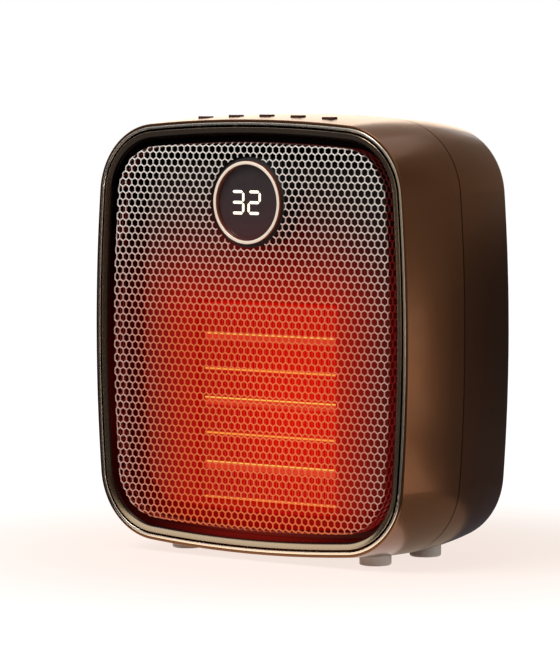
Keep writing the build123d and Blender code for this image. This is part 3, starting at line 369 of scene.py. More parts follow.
@dataclass(frozen=True)
class Finish:
    """A solid finish whose colour, gloss and relief vary with a fine grain.

    Attributes:
        name: What the real material is and how its surface was made.
        light: Colour of the grain's high places, sRGB hex.
        dark: Colour of its low places.
        roughness: Middle of the roughness range.
        spread: How far the roughness varies to each side.
        grain: Size of the grain in millimetres.
        relief: Height of the grain in millimetres.
        metallic: 1 for bare or plated metal.
        coat: Share of clear lacquer.
        coat_roughness: Roughness of the lacquer.
        ior: Refractive index; metals keep the default.
        stretch: Grain lengths along X, Y and Z as shares of the grain size.
    """

    name: str
    light: str
    dark: str
    roughness: float
    spread: float = 0.05
    grain: float = 0.6
    relief: float = 0.01
    metallic: float = 0.0
    coat: float = 0.0
    coat_roughness: float = 0.1
    ior: float = 1.5
    stretch: tuple[float, float, float] = (1.0, 1.0, 1.0)

    def shade(self, tree: Tree, shader: bpy.types.Node) -> None:
        """Set what is special to a subclass; a plain finish has nothing more."""

    def build(self) -> bpy.types.Material:
        """Make the material.

        Returns:
            A node material on Object coordinates.
        """
        material = bpy.data.materials.new(self.name)
        tree = node_tree(material)
        coords = add(tree, "ShaderNodeTexCoord")
        size = Vector([1 / share for share in self.stretch])
        mapping = add(tree, "ShaderNodeMapping", {"Vector": coords.outputs["Object"],
                                                  "Scale": size})
        noise = add(tree, "ShaderNodeTexNoise",
                    {"Vector": mapping.outputs[0], "Scale": 1 / (self.grain * MM),
                     "Detail": 3.0, "Roughness": 0.6})
        grain = noise.outputs["Fac"]
        paint = add(tree, MIX, {"data_type": "RGBA", SHARE: grain, FIRST: linear(self.dark),
                                SECOND: linear(self.light)})
        gloss = add(tree, MAP_RANGE, {"Value": grain, "To Min": self.roughness - self.spread,
                                      "To Max": self.roughness + self.spread})
        bump = add(tree, "ShaderNodeBump", {"Height": grain, "Strength": 0.6,
                                            "Distance": self.relief * MM})
        shader = add(tree, "ShaderNodeBsdfPrincipled",
                     {"Base Color": paint.outputs[MIXED], "Roughness": gloss.outputs[0],
                      "Normal": bump.outputs[0], "Metallic": self.metallic, "IOR": self.ior,
                      "Coat Weight": self.coat, "Coat Roughness": self.coat_roughness})
        self.shade(tree, shader)
        add(tree, "ShaderNodeOutputMaterial", {"Surface": shader.outputs[0]})
        return material


@dataclass(frozen=True)
class LitFinish(Finish):
    """A surface that gives off an even light of its own, such as a figure of a display.

    Attributes:
        glow: Colour of the light, sRGB hex.
        power: Its strength.
    """

    glow: str = "fffaeb"
    power: float = 1.0

    def shade(self, tree: Tree, shader: bpy.types.Node) -> None:
        """Set the light on the shader's own sockets."""
        shader.inputs["Emission Color"].default_value = linear(self.glow)
        shader.inputs["Emission Strength"].default_value = self.power


@dataclass(frozen=True)
class HotFinish(Finish):
    """Surface near or in the core that shows the core's light, strongest over the core: on the
    core's own parts this is their glow, on the surfaces round it the light is painted on.

    Attributes:
        far_glow: Colour of the light away from the hot spot, sRGB hex.
        near_glow: Colour of the light in the hot spot.
        power: Strength over the core.
        tint: Colour painted into the surface over the core as a painted tint of the core's light;
            empty for none.
        shadow: Colour behind the flat front, where less light comes in; empty for none.
        deep_glow: Colour of the core's light there.
        front_only: Whether what faces the back stays dark.
        facing: Cosines to the front between which it then brightens.
        sunk: Depths behind the rim, in millimetres, between which the shadow deepens.
        field: Where the glow lies.
    """

    far_glow: str = "500000"
    near_glow: str = "d80000"
    power: float = 1.0
    tint: str = ""
    shadow: str = ""
    deep_glow: str = "6a0c08"
    front_only: bool = False
    facing: tuple[float, float] = (-0.5, -0.1)
    sunk: tuple[float, float] = (0.5, 1.6)
    field: HeatGlow = HeatGlow()

    def shade(self, tree: Tree, shader: bpy.types.Node) -> None:
        """Add the glow as emission that follows the field, and paint its light into the colour of
        what it lights as a painted tint.

        Args:
            tree: Node tree of the material.
            shader: Its Principled node.
        """
        # Painted tint: the core's light painted into the base colour over the core
        if self.tint:
            repaint(tree, shader, self.field.mask(tree, self.field.tint_fade,
                                                  self.field.tint_drop), self.tint)
        glow = add(tree, MIX, {"data_type": "RGBA", SHARE: self.field.spot(tree),
                               FIRST: linear(self.far_glow), SECOND: linear(self.near_glow)})
        strength = add(tree, MATH, {"operation": "MULTIPLY", 1: self.power,
                                    0: self.field.mask(tree, self.field.fade)})
        if self.front_only:
            strength = add(tree, MATH, {"operation": "MULTIPLY", 0: strength.outputs[0],
                                        1: forwards(tree, *self.facing)})
        # Painted shade behind the flat front, where the glow is painted deep red
        if self.shadow:
            sunk = behind(tree, *self.sunk)
            repaint(tree, shader, sunk, self.shadow)
            spare = add(tree, MATH, {"operation": "SUBTRACT", 1: strength.outputs[0],
                                     0: self.field.mask(tree, self.field.tint_fade)})
            strength = add(tree, MATH, {"operation": "MULTIPLY_ADD", 0: spare.outputs[0],
                                        1: sunk, 2: strength.outputs[0]})
            glow = add(tree, MIX, {"data_type": "RGBA", SHARE: sunk,
                                   FIRST: glow.outputs[MIXED], SECOND: linear(self.deep_glow)})
        tree.links.new(glow.outputs[MIXED], shader.inputs["Emission Color"])
        tree.links.new(strength.outputs[0], shader.inputs["Emission Strength"])


@dataclass(frozen=True)
class ShellFinish(HotFinish):
    """Lacquer outside the case and bare black plastic inside it, with the core's red light painted
    on inside as emission.

    Attributes:
        bare: Colour of the plastic inside, sRGB hex.
        half_x: Half the width of the room inside, in millimetres.
        half_z: Half its height.
        first: Depth behind the rim at which it starts.
        last: Depth at which it ends.
        edge: Depth over which it starts and ends.
    """

    bare: str = "0a0606"
    half_x: float = 80.0
    half_z: float = 89.0
    first: float = 3.0
    last: float = 38.0
    edge: float = 0.5

    def room(self, tree: Tree) -> Socket:
        """Tell which points lie in the room inside, a rounded box.

        Args:
            tree: Node tree of the material.

        Returns:
            A value of 1 inside and 0 outside.
        """
        coords = add(tree, "ShaderNodeTexCoord")
        way = add(tree, VECTOR_MATH, {"operation": "SUBTRACT", 0: coords.outputs["Object"],
                                      1: PLACE.at(0.0, 0.0, 0.0)})
        slope = Vector((1 / self.half_x, 0.0, 1 / self.half_z)) / MM
        share = add(tree, VECTOR_MATH, {"operation": "MULTIPLY", 0: way.outputs[0], 1: slope})
        # The sum of the sixth powers, as the square of the cubes
        cube = share.outputs[0]
        for _ in range(2):
            cube = add(tree, VECTOR_MATH, {"operation": "MULTIPLY", 0: cube,
                                           1: share.outputs[0]}).outputs[0]
        total = add(tree, VECTOR_MATH, {"operation": "DOT_PRODUCT", 0: cube, 1: cube})
        inside = add(tree, MATH, {"operation": "LESS_THAN", 0: total.outputs["Value"], 1: 1.0})
        for end in (behind(tree, self.first, self.first + self.edge),
                    behind(tree, self.last + self.edge, self.last)):
            inside = add(tree, MATH, {"operation": "MULTIPLY", 0: inside.outputs[0], 1: end})
        return inside.outputs[0]

    def shade(self, tree: Tree, shader: bpy.types.Node) -> None:
        """Keep the painted glow of the core to the room inside, and paint that black.

        Args:
            tree: Node tree of the material.
            shader: Its Principled node.
        """
        super().shade(tree, shader)
        inside = self.room(tree)
        repaint(tree, shader, inside, self.bare)
        light = shader.inputs["Emission Strength"]
        kept = add(tree, MATH, {"operation": "MULTIPLY", 0: light.links[0].from_socket, 1: inside})
        tree.links.new(kept.outputs[0], light)


@dataclass(frozen=True)
class LitWallFinish(Finish):
    """Plated lip whose dark inward walls and ledge get the core's red light painted on as
    emission.

    Attributes:
        glow: Colour of the light painted on the walls, sRGB hex.
        power: Its strength next to the core.
        fade: Distance from the core, in millimetres, over which it fades.
        wall: Colour of the inward walls.
        first: Depth behind the rim, in millimetres, where the wall starts.
        last: Depth from which it is all wall.
        ledge: Depth of the ledge that the sheet rests on.
        grazing: Cosine to the way from the core at which a wall is dark.
        facing: Cosine at which it is fully lit.
    """

    glow: str = "861710"
    power: float = 1.0
    fade: float = 42.0
    wall: str = "1a1412"
    first: float = 0.5
    last: float = 0.75
    ledge: float = 7.9
    grazing: float = -0.35
    facing: float = -0.85

    def shade(self, tree: Tree, shader: bpy.types.Node) -> None:
        """Add the core's light as painted emission where the surface faces the middle of the core,
        and on the ledge.

        Args:
            tree: Node tree of the material.
            shader: Its Principled node.
        """
        way = HeatGlow().way(tree)
        level = add(tree, VECTOR_MATH, {"operation": "MULTIPLY", 0: way,
                                        1: Vector((1.0, 0.0, 1.0))})
        away = add(tree, VECTOR_MATH, {"operation": "NORMALIZE", 0: level.outputs[0]})
        skin = add(tree, "ShaderNodeNewGeometry")
        turned = add(tree, VECTOR_MATH, {"operation": "DOT_PRODUCT", 0: skin.outputs["Normal"],
                                         1: away.outputs[0]})
        inward = add(tree, MAP_RANGE, {"interpolation_type": "SMOOTHSTEP",
                                       "From Min": self.grazing, "From Max": self.facing,
                                       "Value": turned.outputs["Value"]})
        lit = add(tree, MATH, {"operation": "MAXIMUM", 0: inward.outputs[0],
                               1: behind(tree, self.ledge - 0.5, self.ledge)})
        repaint(tree, shader, behind(tree, self.first, self.last), self.wall)
        near = falloff(tree, level.outputs[0], Vector((1.0, 0.0, 1.0)) / (self.fade * MM))
        # The walls are about one fade away from the middle, where the bell is down to 1/e
        scaled = add(tree, MATH, {"operation": "MULTIPLY", 0: near, 1: self.power * math.e})
        strength = add(tree, MATH, {"operation": "MULTIPLY", 0: lit.outputs[0],
                                    1: scaled.outputs[0]})
        shader.inputs["Emission Color"].default_value = linear(self.glow)
        tree.links.new(strength.outputs[0], shader.inputs["Emission Strength"])


@dataclass(frozen=True)
class RollFinish(Finish):
    """Polished roll that is pale along its crest as a painted highlight and painted deep rose on
    its flanks as painted shade.

    Attributes:
        flank: Colour of the painted shade on the flanks, sRGB hex.
        edge: Cosine of the tilt at which the surface is all flank.
        crest: Cosine from which it is all crest.
    """

    flank: str = "8a4630"
    edge: float = 0.7
    crest: float = 0.95

    def shade(self, tree: Tree, shader: bpy.types.Node) -> None:
        """Paint shade onto the flanks where the surface turns away from the front."""
        repaint(tree, shader, forwards(tree, self.crest, self.edge), self.flank)


@dataclass(frozen=True)
class TubeFinish(Finish):
    """Heating tubes and plates that glow yellow along a thin line and red around it.

    Attributes:
        line_glow: Colour of the line, sRGB hex.
        rest_glow: Colour of the rest of the tube.
        power: Strength of the light.
        pitch: Distance between two lines in millimetres.
        line_z: Height of one line over the middle of the rim.
        half_line: Half the height of the line in millimetres.
        soft: How far its edge fades to each side.
        top_z: Height over the middle of the rim above which there is no line.
    """

    line_glow: str = "ffc254"
    rest_glow: str = "c41c08"
    power: float = 1.0
    pitch: float = 14.35
    line_z: float = -28.4
    half_line: float = 0.75
    soft: float = 0.3
    top_z: float = 5.0

    def shade(self, tree: Tree, shader: bpy.types.Node) -> None:
        """Add the line and the light around it as emission.

        Args:
            tree: Node tree of the material.
            shader: Its Principled node.
        """
        coords = add(tree, "ShaderNodeTexCoord")
        height = add(tree, "ShaderNodeSeparateXYZ", {0: coords.outputs["Object"]}).outputs["Z"]
        half = self.pitch / 2
        up = add(tree, MATH, {"operation": "SUBTRACT", 0: height,
                              1: (PLACE.rim_z + self.line_z - half) * MM})
        turn = add(tree, MATH, {"operation": "FLOORED_MODULO", 0: up.outputs[0],
                                1: self.pitch * MM})
        past = add(tree, MATH, {"operation": "SUBTRACT", 0: turn.outputs[0], 1: half * MM})
        size = add(tree, MATH, {"operation": "ABSOLUTE", 0: past.outputs[0]})
        line = add(tree, MAP_RANGE, {"interpolation_type": "SMOOTHSTEP",
                                     "From Min": (self.half_line + self.soft) * MM,
                                     "From Max": (self.half_line - self.soft) * MM,
                                     "Value": size.outputs[0]})
        below = add(tree, MATH, {"operation": "LESS_THAN", 0: height,
                                 1: (PLACE.rim_z + self.top_z) * MM})
        drawn = add(tree, MATH, {"operation": "MULTIPLY", 0: line.outputs[0],
                                 1: below.outputs[0]})
        glow = add(tree, MIX, {"data_type": "RGBA", SHARE: drawn.outputs[0],
                               FIRST: linear(self.rest_glow), SECOND: linear(self.line_glow)})
        tree.links.new(glow.outputs[MIXED], shader.inputs["Emission Color"])
        shader.inputs["Emission Strength"].default_value = self.power


class Slot(Enum):
    """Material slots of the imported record."""

    CASE = "case_lacquer"
    TRIM = "trim_metal"
    BEZEL = "bezel_black"
    GRILLE = "grille_metal"
    ROSE = "rose_metal"
    WINDOW = "smoked_window"
    DIGIT = "lit_digit"
    KEY = "key_plastic"
    NYLON = "black_nylon"
    BAFFLE = "baffle_black"
    BOARD = "board_green"
    DISPLAY = "display_white"
    MICA = "mica_white"
    FIN = "heater_aluminium"
    TUBE = "tube_aluminium"
    STONE = "barium_titanate"
    BRASS = "plated_brass"
    COPPER = "copper_wire"
    STEEL = "motor_steel"
    FERRITE = "ferrite"
    SCREW = "screw_steel"
    RELAY = "relay_blue"
    FILM = "capacitor_yellow"
    TAPE = "transformer_tape"
    CAN = "can_sleeve"
    TERMINAL = "terminal_plastic"
    RUBBER = "foot_rubber"
    SILICONE = "lead_silicone"
    SPRING = "spring_steel"


# Lacquer flakes and moulding grain are a few hundredths of a millimetre in the real
# finishes; they are drawn at 0.3 mm or more, the finest that still shows in a close view.
FINISHES: dict[Slot, Finish] = {
    # Metallic lacquer sprayed on ABS: a satin brown that mirrors its surroundings softly; inside
    # the case the core's red light is painted on as emission
    Slot.CASE: ShellFinish("sprayed_brown_lacquer", "7a5236", "62412a", 0.24, 0.03, 0.35, 0.002,
                           metallic=0.95, coat=0.15, coat_roughness=0.14, far_glow="900200",
                           near_glow="b00200", power=0.8, front_only=True,
                           field=HeatGlow(centre_z=-37.0, fade=27.0)),
    # Electroplated zinc, brushed lightly: a bright line with a soft edge
    Slot.TRIM: Finish("satin_plated_trim", "f3e8d8", "e2d6c4", 0.2, 0.04, 0.4, 0.002,
                      metallic=1.0),
    # Champagne plating, smoked: takes the tone of what it mirrors, with black inner walls that get
    # the core's red light painted on as emission
    Slot.BEZEL: LitWallFinish("smoked_champagne_plating", "c8b092", "bca486", 0.17, 0.03, 0.8,
                              0.002, metallic=1.0),
    # Punched steel sheet with a silver powder coat: pale bars, with the core's red light painted
    # on as emission and a painted red tint where the core is near, and painted shade on the
    # bent-back edge
    Slot.GRILLE: HotFinish("powder_coated_sheet", "fdf9f3", "f2ece4", 0.4, 0.05, 0.3, 0.003,
                           metallic=0.2, far_glow="de6a34", near_glow="ff783e", power=0.7,
                           tint="541e08", shadow="1a0f0c",
                           field=HeatGlow(middle_x=2.0, centre_z=-36.0, fade=36.0,
                                          tint_fade=61.0)),
    # Rose gold plating over polished zinc: a cream crest as a painted highlight between copper
    # flanks of painted shade
    Slot.ROSE: RollFinish("rose_gold_plating", "fff3e2", "fde8d2", 0.2, 0.03, 0.5, 0.002,
                          metallic=0.2),
    # Tinted polycarbonate, moulded: smoky and glossy, with the core's warm light painted on as
    # emission near the core
    Slot.WINDOW: HotFinish("smoked_polycarbonate", "383132", "302b2c", 0.12, 0.03, 1.5, 0.001,
                           coat=0.2, coat_roughness=0.05, ior=1.58, far_glow="500c04",
                           near_glow="500c04", field=HeatGlow(fade=32.0)),
    # Light bars cast in milky resin: an even warm white
    Slot.DIGIT: LitFinish("lit_light_bars", "fff2dc", "fdeccf", 0.4, glow="fff2d8", power=0.8),
    # ABS keys, moulded with a fine polish: dark brown with a clear highlight
    Slot.KEY: Finish("moulded_key_abs", "4a2010", "38180c", 0.22, 0.05, 0.5, 0.004),
    # Glass-filled nylon, moulded: black with a dull, slightly mottled skin
    Slot.NYLON: Finish("moulded_black_nylon", "232323", "181818", 0.5, 0.06, 0.7, 0.008),
    # Heat-proof PET plate, die cut: matt black, with the red light of the core painted on its
    # front as emission
    Slot.BAFFLE: HotFinish("heat_proof_black_plate", "150b06", "0e0704", 0.75, 0.05, 0.8, 0.006,
                           ior=1.25, far_glow="a00200", near_glow="b80200", power=1.0,
                           front_only=True,
                           field=HeatGlow(middle_x=-5.0, centre_z=-37.0, fade=27.0)),
    # Glass-fibre board under a green solder mask: an even gloss over a fine weave
    Slot.BOARD: Finish("solder_masked_fibreglass", "1f6b3c", "175532", 0.35, 0.05, 0.9, 0.004,
                       coat=0.3),
    # White polycarbonate diffuser, moulded: milky and dull
    Slot.DISPLAY: Finish("moulded_white_diffuser", "f0eeea", "e4e2dd", 0.5, 0.05, 0.8, 0.004),
    # Mica flakes pressed into board: beige, blotchy and a little rough
    Slot.MICA: Finish("pressed_mica_board", "b9a98c", "9c8c70", 0.6, 0.08, 1.4, 0.02),
    # Aluminium strip, rolled and folded: thin walls that glow red
    Slot.FIN: HotFinish("rolled_fin_aluminium", "8f6a60", "70504a", 0.45, 0.06, 0.6, 0.004,
                        metallic=1.0, far_glow="960200", near_glow="c00400"),
    # Aluminium tube, extruded: a yellow-hot line along its front face
    Slot.TUBE: TubeFinish("extruded_tube_aluminium", "a5705c", "8a5a48", 0.4, 0.05, 0.5, 0.003,
                          metallic=1.0),
    # Barium titanate, sintered: stone grey and matt
    Slot.STONE: Finish("sintered_barium_titanate", "6f6459", "544a41", 0.75, 0.06, 0.3, 0.01),
    # Brass, stamped and tinned: pale yellow with a soft shine
    Slot.BRASS: Finish("tinned_brass", "d8c490", "bfa76e", 0.28, 0.05, 0.5, 0.003,
                       metallic=1.0),
    # Copper wire, drawn, enamelled and wound: fine reddish strands side by side
    Slot.COPPER: Finish("enamelled_copper_wire", "c0693a", "8f4621", 0.3, 0.05, 0.3, 0.03,
                        metallic=1.0, stretch=(1.0, 6.0, 1.0)),
    # Sheet steel, rolled: plain grey with a soft shine
    Slot.STEEL: Finish("rolled_motor_steel", "b4b2af", "969492", 0.32, 0.06, 0.5, 0.004,
                       metallic=1.0),
    # Ferrite, sintered: charcoal and matt
    Slot.FERRITE: Finish("sintered_ferrite", "3a3836", "2b2927", 0.6, 0.06, 0.3, 0.006),
    # Steel screws, zinc plated: bright and slightly warm
    Slot.SCREW: Finish("zinc_plated_steel", "c6c4bd", "a6a49c", 0.28, 0.06, 0.4, 0.003,
                       metallic=1.0),
    # Polyester relay case, moulded: clear blue with a gloss
    Slot.RELAY: Finish("moulded_relay_blue", "2566b0", "1c5498", 0.32, 0.05, 0.9, 0.003),
    # Film capacitor in a cast epoxy case: warm yellow
    Slot.FILM: Finish("cast_capacitor_yellow", "e0b52a", "cda01f", 0.4, 0.05, 0.7, 0.004),
    # Polyester tape wound over the coil: glossy yellow with faint wrinkles
    Slot.TAPE: Finish("wound_polyester_tape", "e3cf5a", "cdb845", 0.25, 0.05, 1.2, 0.02),
    # PVC sleeve shrunk over an aluminium can: near-black with a gloss
    Slot.CAN: Finish("shrunk_pvc_sleeve", "22262e", "171a20", 0.3, 0.05, 0.8, 0.003),
    # Polyamide terminal block, moulded: green and half dull
    Slot.TERMINAL: Finish("moulded_terminal_green", "2f8a54", "247445", 0.42, 0.05, 0.7, 0.004),
    # Silicone feet, moulded clear: milky and soft
    Slot.RUBBER: Finish("moulded_clear_silicone", "efe9e2", "e6dfd6", 0.45, 0.06, 0.6, 0.02),
    # Silicone insulation, extruded over the leads: red with a dull sheen
    Slot.SILICONE: Finish("silicone_wire_jacket", "a32218", "921c14", 0.45, 0.05, 0.5, 0.003),
    # Spring steel, drawn: bright with fine marks
    Slot.SPRING: Finish("drawn_spring_steel", "b8b6b2", "94928e", 0.25, 0.05, 0.3, 0.003,
                        metallic=1.0),
}

# Nodes that share a slot with others and look different in the light of the core
SPECIAL: dict[str, Finish] = {
    # Aluminium plates between the fin rows, rolled thin: a fine line of orange light
    "spacer_plates": TubeFinish("rolled_plate_aluminium", "a5705c", "8a5a48", 0.4, 0.05, 0.5,
                                0.003, metallic=1.0, line_glow="f89a3a", rest_glow="a80a04",
                                line_z=-15.95, half_line=0.4, top_z=-12.0),
    # Mica strips at the ends of the core, pressed: dark, with the core's red light painted on as
    # emission
    "core_holders": HotFinish("pressed_mica_strips", "1c0a06", "140604", 0.75, 0.08, 1.4, 0.02,
                              ior=1.3, far_glow="a00200", near_glow="c00400"),
}


def plain_mesh(source: bpy.types.Object, name: str) -> bpy.types.Object:
    """Turn an object and its modifiers into a new object with a plain mesh.

    Args:
        source: Object whose modifiers give the final shape; it is removed.
        name: Name of the new object.

    Returns:
        An object at the origin with no modifier.
    """
    bpy.context.view_layer.update()
    graph = bpy.context.evaluated_depsgraph_get()
    mesh = bpy.data.meshes.new_from_object(source.evaluated_get(graph), depsgraph=graph)
    mesh.name = name
    piece = place_object(name, mesh)
    bpy.data.objects.remove(source)
    return piece


@dataclass(frozen=True)
class FrontLip:
    """Bevelled lip round the sheet: a plated slope that turns into a black inner wall.

    Attributes:
        steps: Parts that each half arc of the rim is split into.
        crease: Angle in degrees from which an edge of the lip is sharp.
        section: Offset from the rim line and depth behind it, in millimetres, of each
            corner once round the section.
    """

    steps: int = 24
    crease: float = 35.0
    section: tuple[tuple[float, float], ...] = (
        (-3.4, 11.0), (-3.4, 0.16), (-3.43, 0.07), (-3.49, 0.03), (-3.54, 0.024), (-3.6, 0.037),
        (-4.4, 0.24), (-5.2, 0.45), (-6.0, 0.72), (-6.4, 1.0), (-6.75, 1.5), (-7.0, 2.4),
        (-7.2, 3.8), (-7.3, 5.4), (-7.3, 8.0), (-11.0, 8.0), (-11.0, 9.0), (-8.9, 9.0),
        (-8.9, 11.0))

    def mesh(self) -> bpy.types.Mesh:
        """Sweep the section round the rim.

        Returns:
            A closed mesh with its normals outwards.
        """
        rings = [RIM.ring(offset, self.steps) for offset, _ in self.section]
        count, turns = len(self.section), len(rings[0])
        points = [PLACE.at(rings[k][j].x, self.section[k][1], rings[k][j].y)
                  for j in range(turns) for k in range(count)]
        faces = [(j * count + k, j * count + (k + 1) % count,
                  (j + 1) % turns * count + (k + 1) % count, (j + 1) % turns * count + k)
                 for j in range(turns) for k in range(count)]
        mesh = bpy.data.meshes.new("front_lip")
        mesh.from_pydata(points, [], faces)
        work = bmesh.new()
        work.from_mesh(mesh)
        bmesh.ops.recalc_face_normals(work, faces=work.faces)
        for edge in work.edges:
            edge.smooth = edge.calc_face_angle(0.0) < math.radians(self.crease)
        for face in work.faces:
            face.smooth = True
        work.to_mesh(mesh)
        work.free()
        return mesh

    def build(self, material: bpy.types.Material) -> bpy.types.Object:
        """Make the lip, dress it and put it in place of its CAD node.

        Args:
            material: Finish of the lip.

        Returns:
            The finished lip.
        """
        mesh = self.mesh()
        mesh.materials.append(material)
        lip = place_object("front_lip", mesh)
        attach(lip, "case")
        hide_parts("bezel")
        return lip


@dataclass(frozen=True)
class FrontGrille:
    """Perforated front sheet: hexagonal holes that run on over its bent-back edge.

    Attributes:
        pitch: Distance between two holes in millimetres.
        bar: Width of the bar between them.
        thick: Thickness of the sheet.
        chamfer: Width of the bevel round each hole.
        columns: Holes in a row.
        rows: Rows of holes.
        flat_offset: Where the flat part ends, from the rim line.
        bend: Radius of the bend.
        skirt: How deep the bent-back edge goes.
        pod_z: Height of the display over the middle of the rim.
        pod_radius: Radius of the opening for the display.
        fine_reach: Distance from the display within which the cells have short parts.
        fine_cuts: Parts that each side of such a cell is split into.
        weld: Distance within which the corners of two cells become one.
    """

    pitch: float = 3.5
    bar: float = 0.48
    thick: float = 0.5
    chamfer: float = 0.1
    columns: int = 51
    rows: int = 65
    flat_offset: float = -11.2
    bend: float = 1.3
    skirt: float = 8.0
    pod_z: float = 58.8
    pod_radius: float = 20.3
    fine_reach: float = 24.0
    fine_cuts: int = 4
    weld: float = 0.002

    def cell(self, cuts: int) -> bpy.types.Object:
        """Make one cell of the sheet: the bars half way to its six neighbours.

        Args:
            cuts: Parts that each of its six sides is split into.

        Returns:
            An object with the cell round the origin.
        """
        rings = []
        outer = self.pitch / math.sqrt(3)
        inner = (self.pitch - self.bar) / math.sqrt(3)
        bevel = inner + self.chamfer * 2 / math.sqrt(3)
        for radius, depth in ((outer, 0.0), (bevel, 0.0), (inner, self.chamfer),
                              (inner, self.thick), (outer, self.thick)):
            ring = []
            for side in range(6):
                first, last = (math.radians(60 * (side + k) + 30) for k in (0, 1))
                for cut in range(cuts):
                    share = cut / cuts
                    x = radius * (math.cos(first) * (1 - share) + math.cos(last) * share)
                    z = radius * (math.sin(first) * (1 - share) + math.sin(last) * share)
                    ring.append((x * MM, depth * MM, z * MM))
            rings.append(ring)
        count = 6 * cuts
        points = [point for ring in rings for point in ring]
        faces = [(k * count + i, (k + 1) * count + i, (k + 1) * count + (i + 1) % count,
                  k * count + (i + 1) % count)
                 for k in range(len(rings) - 1) for i in range(count)]
        mesh = bpy.data.meshes.new("grille_cell")
        mesh.from_pydata(points, [], faces)
        return place_object("grille_cell", mesh)

    def edge(self, tree: Tree, point: Socket) -> tuple[Socket, Socket]:
        """Measure a point from the line where the flat part of the sheet ends.

        Args:
            tree: Geometry node tree.
            point: Position in metres, in the plane of the sheet.

        Returns:
            The signed distance past the line in metres, and the outward unit vector.
        """
        up = Vector((0.0, 0.0, PLACE.rim_z * MM))
        way = add(tree, VECTOR_MATH, {"operation": "SUBTRACT", 0: point, 1: up})
        level = add(tree, VECTOR_MATH, {"operation": "MULTIPLY", 0: way.outputs[0],
                                        1: Vector((1.0, 0.0, 1.0))}).outputs[0]
        quarter = add(tree, VECTOR_MATH, {"operation": "ABSOLUTE", 0: level}).outputs[0]
        sign = add(tree, VECTOR_MATH, {"operation": "SIGN", 0: level}).outputs[0]
        past, outward = {}, {}
        for name, centre, radius in (("side", RIM.side_centre, RIM.side_radius),
                                     ("top", RIM.top_centre, RIM.top_radius),
                                     ("corner", RIM.corner_centre, RIM.corner)):
            away = add(tree, VECTOR_MATH, {"operation": "SUBTRACT", 0: quarter,
                                           1: Vector((centre.x, 0.0, centre.y)) * MM}).outputs[0]
            length = add(tree, VECTOR_MATH, {"operation": "LENGTH", 0: away})
            past[name] = add(tree, MATH, {"operation": "SUBTRACT", 0: length.outputs["Value"],
                                          1: (radius + self.flat_offset) * MM}).outputs[0]
            outward[name] = add(tree, VECTOR_MATH, {"operation": "NORMALIZE", 0: away}).outputs[0]
        # The corner's arc counts between the two lines on which it meets the long arcs
        to_side = (RIM.corner_centre - RIM.side_centre).normalized()
        to_top = (RIM.corner_centre - RIM.top_centre).normalized()
        within = []
        for across in (Vector((-to_side.y, 0.0, to_side.x)), Vector((to_top.y, 0.0, -to_top.x))):
            over = add(tree, VECTOR_MATH, {"operation": "DOT_PRODUCT", 0: away, 1: across})
            within.append(add(tree, MATH, {"operation": "GREATER_THAN", 1: 0.0,
                                           0: over.outputs["Value"]}).outputs[0])
        in_corner = add(tree, MATH, {"operation": "MULTIPLY", 0: within[0], 1: within[1]})
        by_top = add(tree, MATH, {"operation": "GREATER_THAN", 0: past["top"], 1: past["side"]})
        chosen = []
        for kind, choice in (("FLOAT", past), ("VECTOR", outward)):
            long_arc = add(tree, "GeometryNodeSwitch",
                           {"input_type": kind, 0: by_top.outputs[0], 1: choice["side"],
                            2: choice["top"]})
            chosen.append(add(tree, "GeometryNodeSwitch",
                              {"input_type": kind, 0: in_corner.outputs[0],
                               1: long_arc.outputs[0], 2: choice["corner"]}).outputs[0])
        turned = add(tree, VECTOR_MATH, {"operation": "MULTIPLY", 0: chosen[1], 1: sign})
        return chosen[0], turned.outputs[0]

    def spots(self, tree: Tree, pitch: Socket, where: Socket) -> Socket:
        """Lay one point for each hole, in staggered rows.

        Args:
            tree: Geometry node tree.
            pitch: Distance between two holes in metres.
            where: Position field.

        Returns:
            The geometry with the points.
        """
        row = add(tree, MATH, {"operation": "MULTIPLY", 0: pitch, 1: math.sqrt(3) / 2}).outputs[0]
        width = add(tree, MATH, {"operation": "MULTIPLY", 0: pitch, 1: self.columns - 1.0})
        height = add(tree, MATH, {"operation": "MULTIPLY", 0: row, 1: self.rows - 1.0})
        grid = add(tree, "GeometryNodeMeshGrid",
                   {"Vertices X": self.columns, "Vertices Y": self.rows,
                    "Size X": width.outputs[0], "Size Y": height.outputs[0]})
        parts = add(tree, "ShaderNodeSeparateXYZ", {0: where})
        ratio = add(tree, MATH, {"operation": "DIVIDE", 0: parts.outputs["Y"], 1: row})
        line = add(tree, MATH, {"operation": "ROUND", 0: ratio.outputs[0]}).outputs[0]
        size = add(tree, MATH, {"operation": "ABSOLUTE", 0: line})
        odd = add(tree, MATH, {"operation": "MODULO", 0: size.outputs[0], 1: 2.0})
        whole = add(tree, MATH, {"operation": "MULTIPLY", 0: odd.outputs[0], 1: pitch})
        across = add(tree, MATH, {"operation": "MULTIPLY_ADD", 0: whole.outputs[0], 1: 0.5,
                                  2: parts.outputs["X"]})
        up = add(tree, MATH, {"operation": "MULTIPLY_ADD", 0: line, 1: row, 2: PLACE.rim_z * MM})
        spot = add(tree, "ShaderNodeCombineXYZ", {"X": across.outputs[0], "Y": PLACE.rim_y * MM,
                                                  "Z": up.outputs[0]})
        return add(tree, "GeometryNodeSetPosition", {"Geometry": grid.outputs["Mesh"],
                                                     "Position": spot.outputs[0]}).outputs[0]

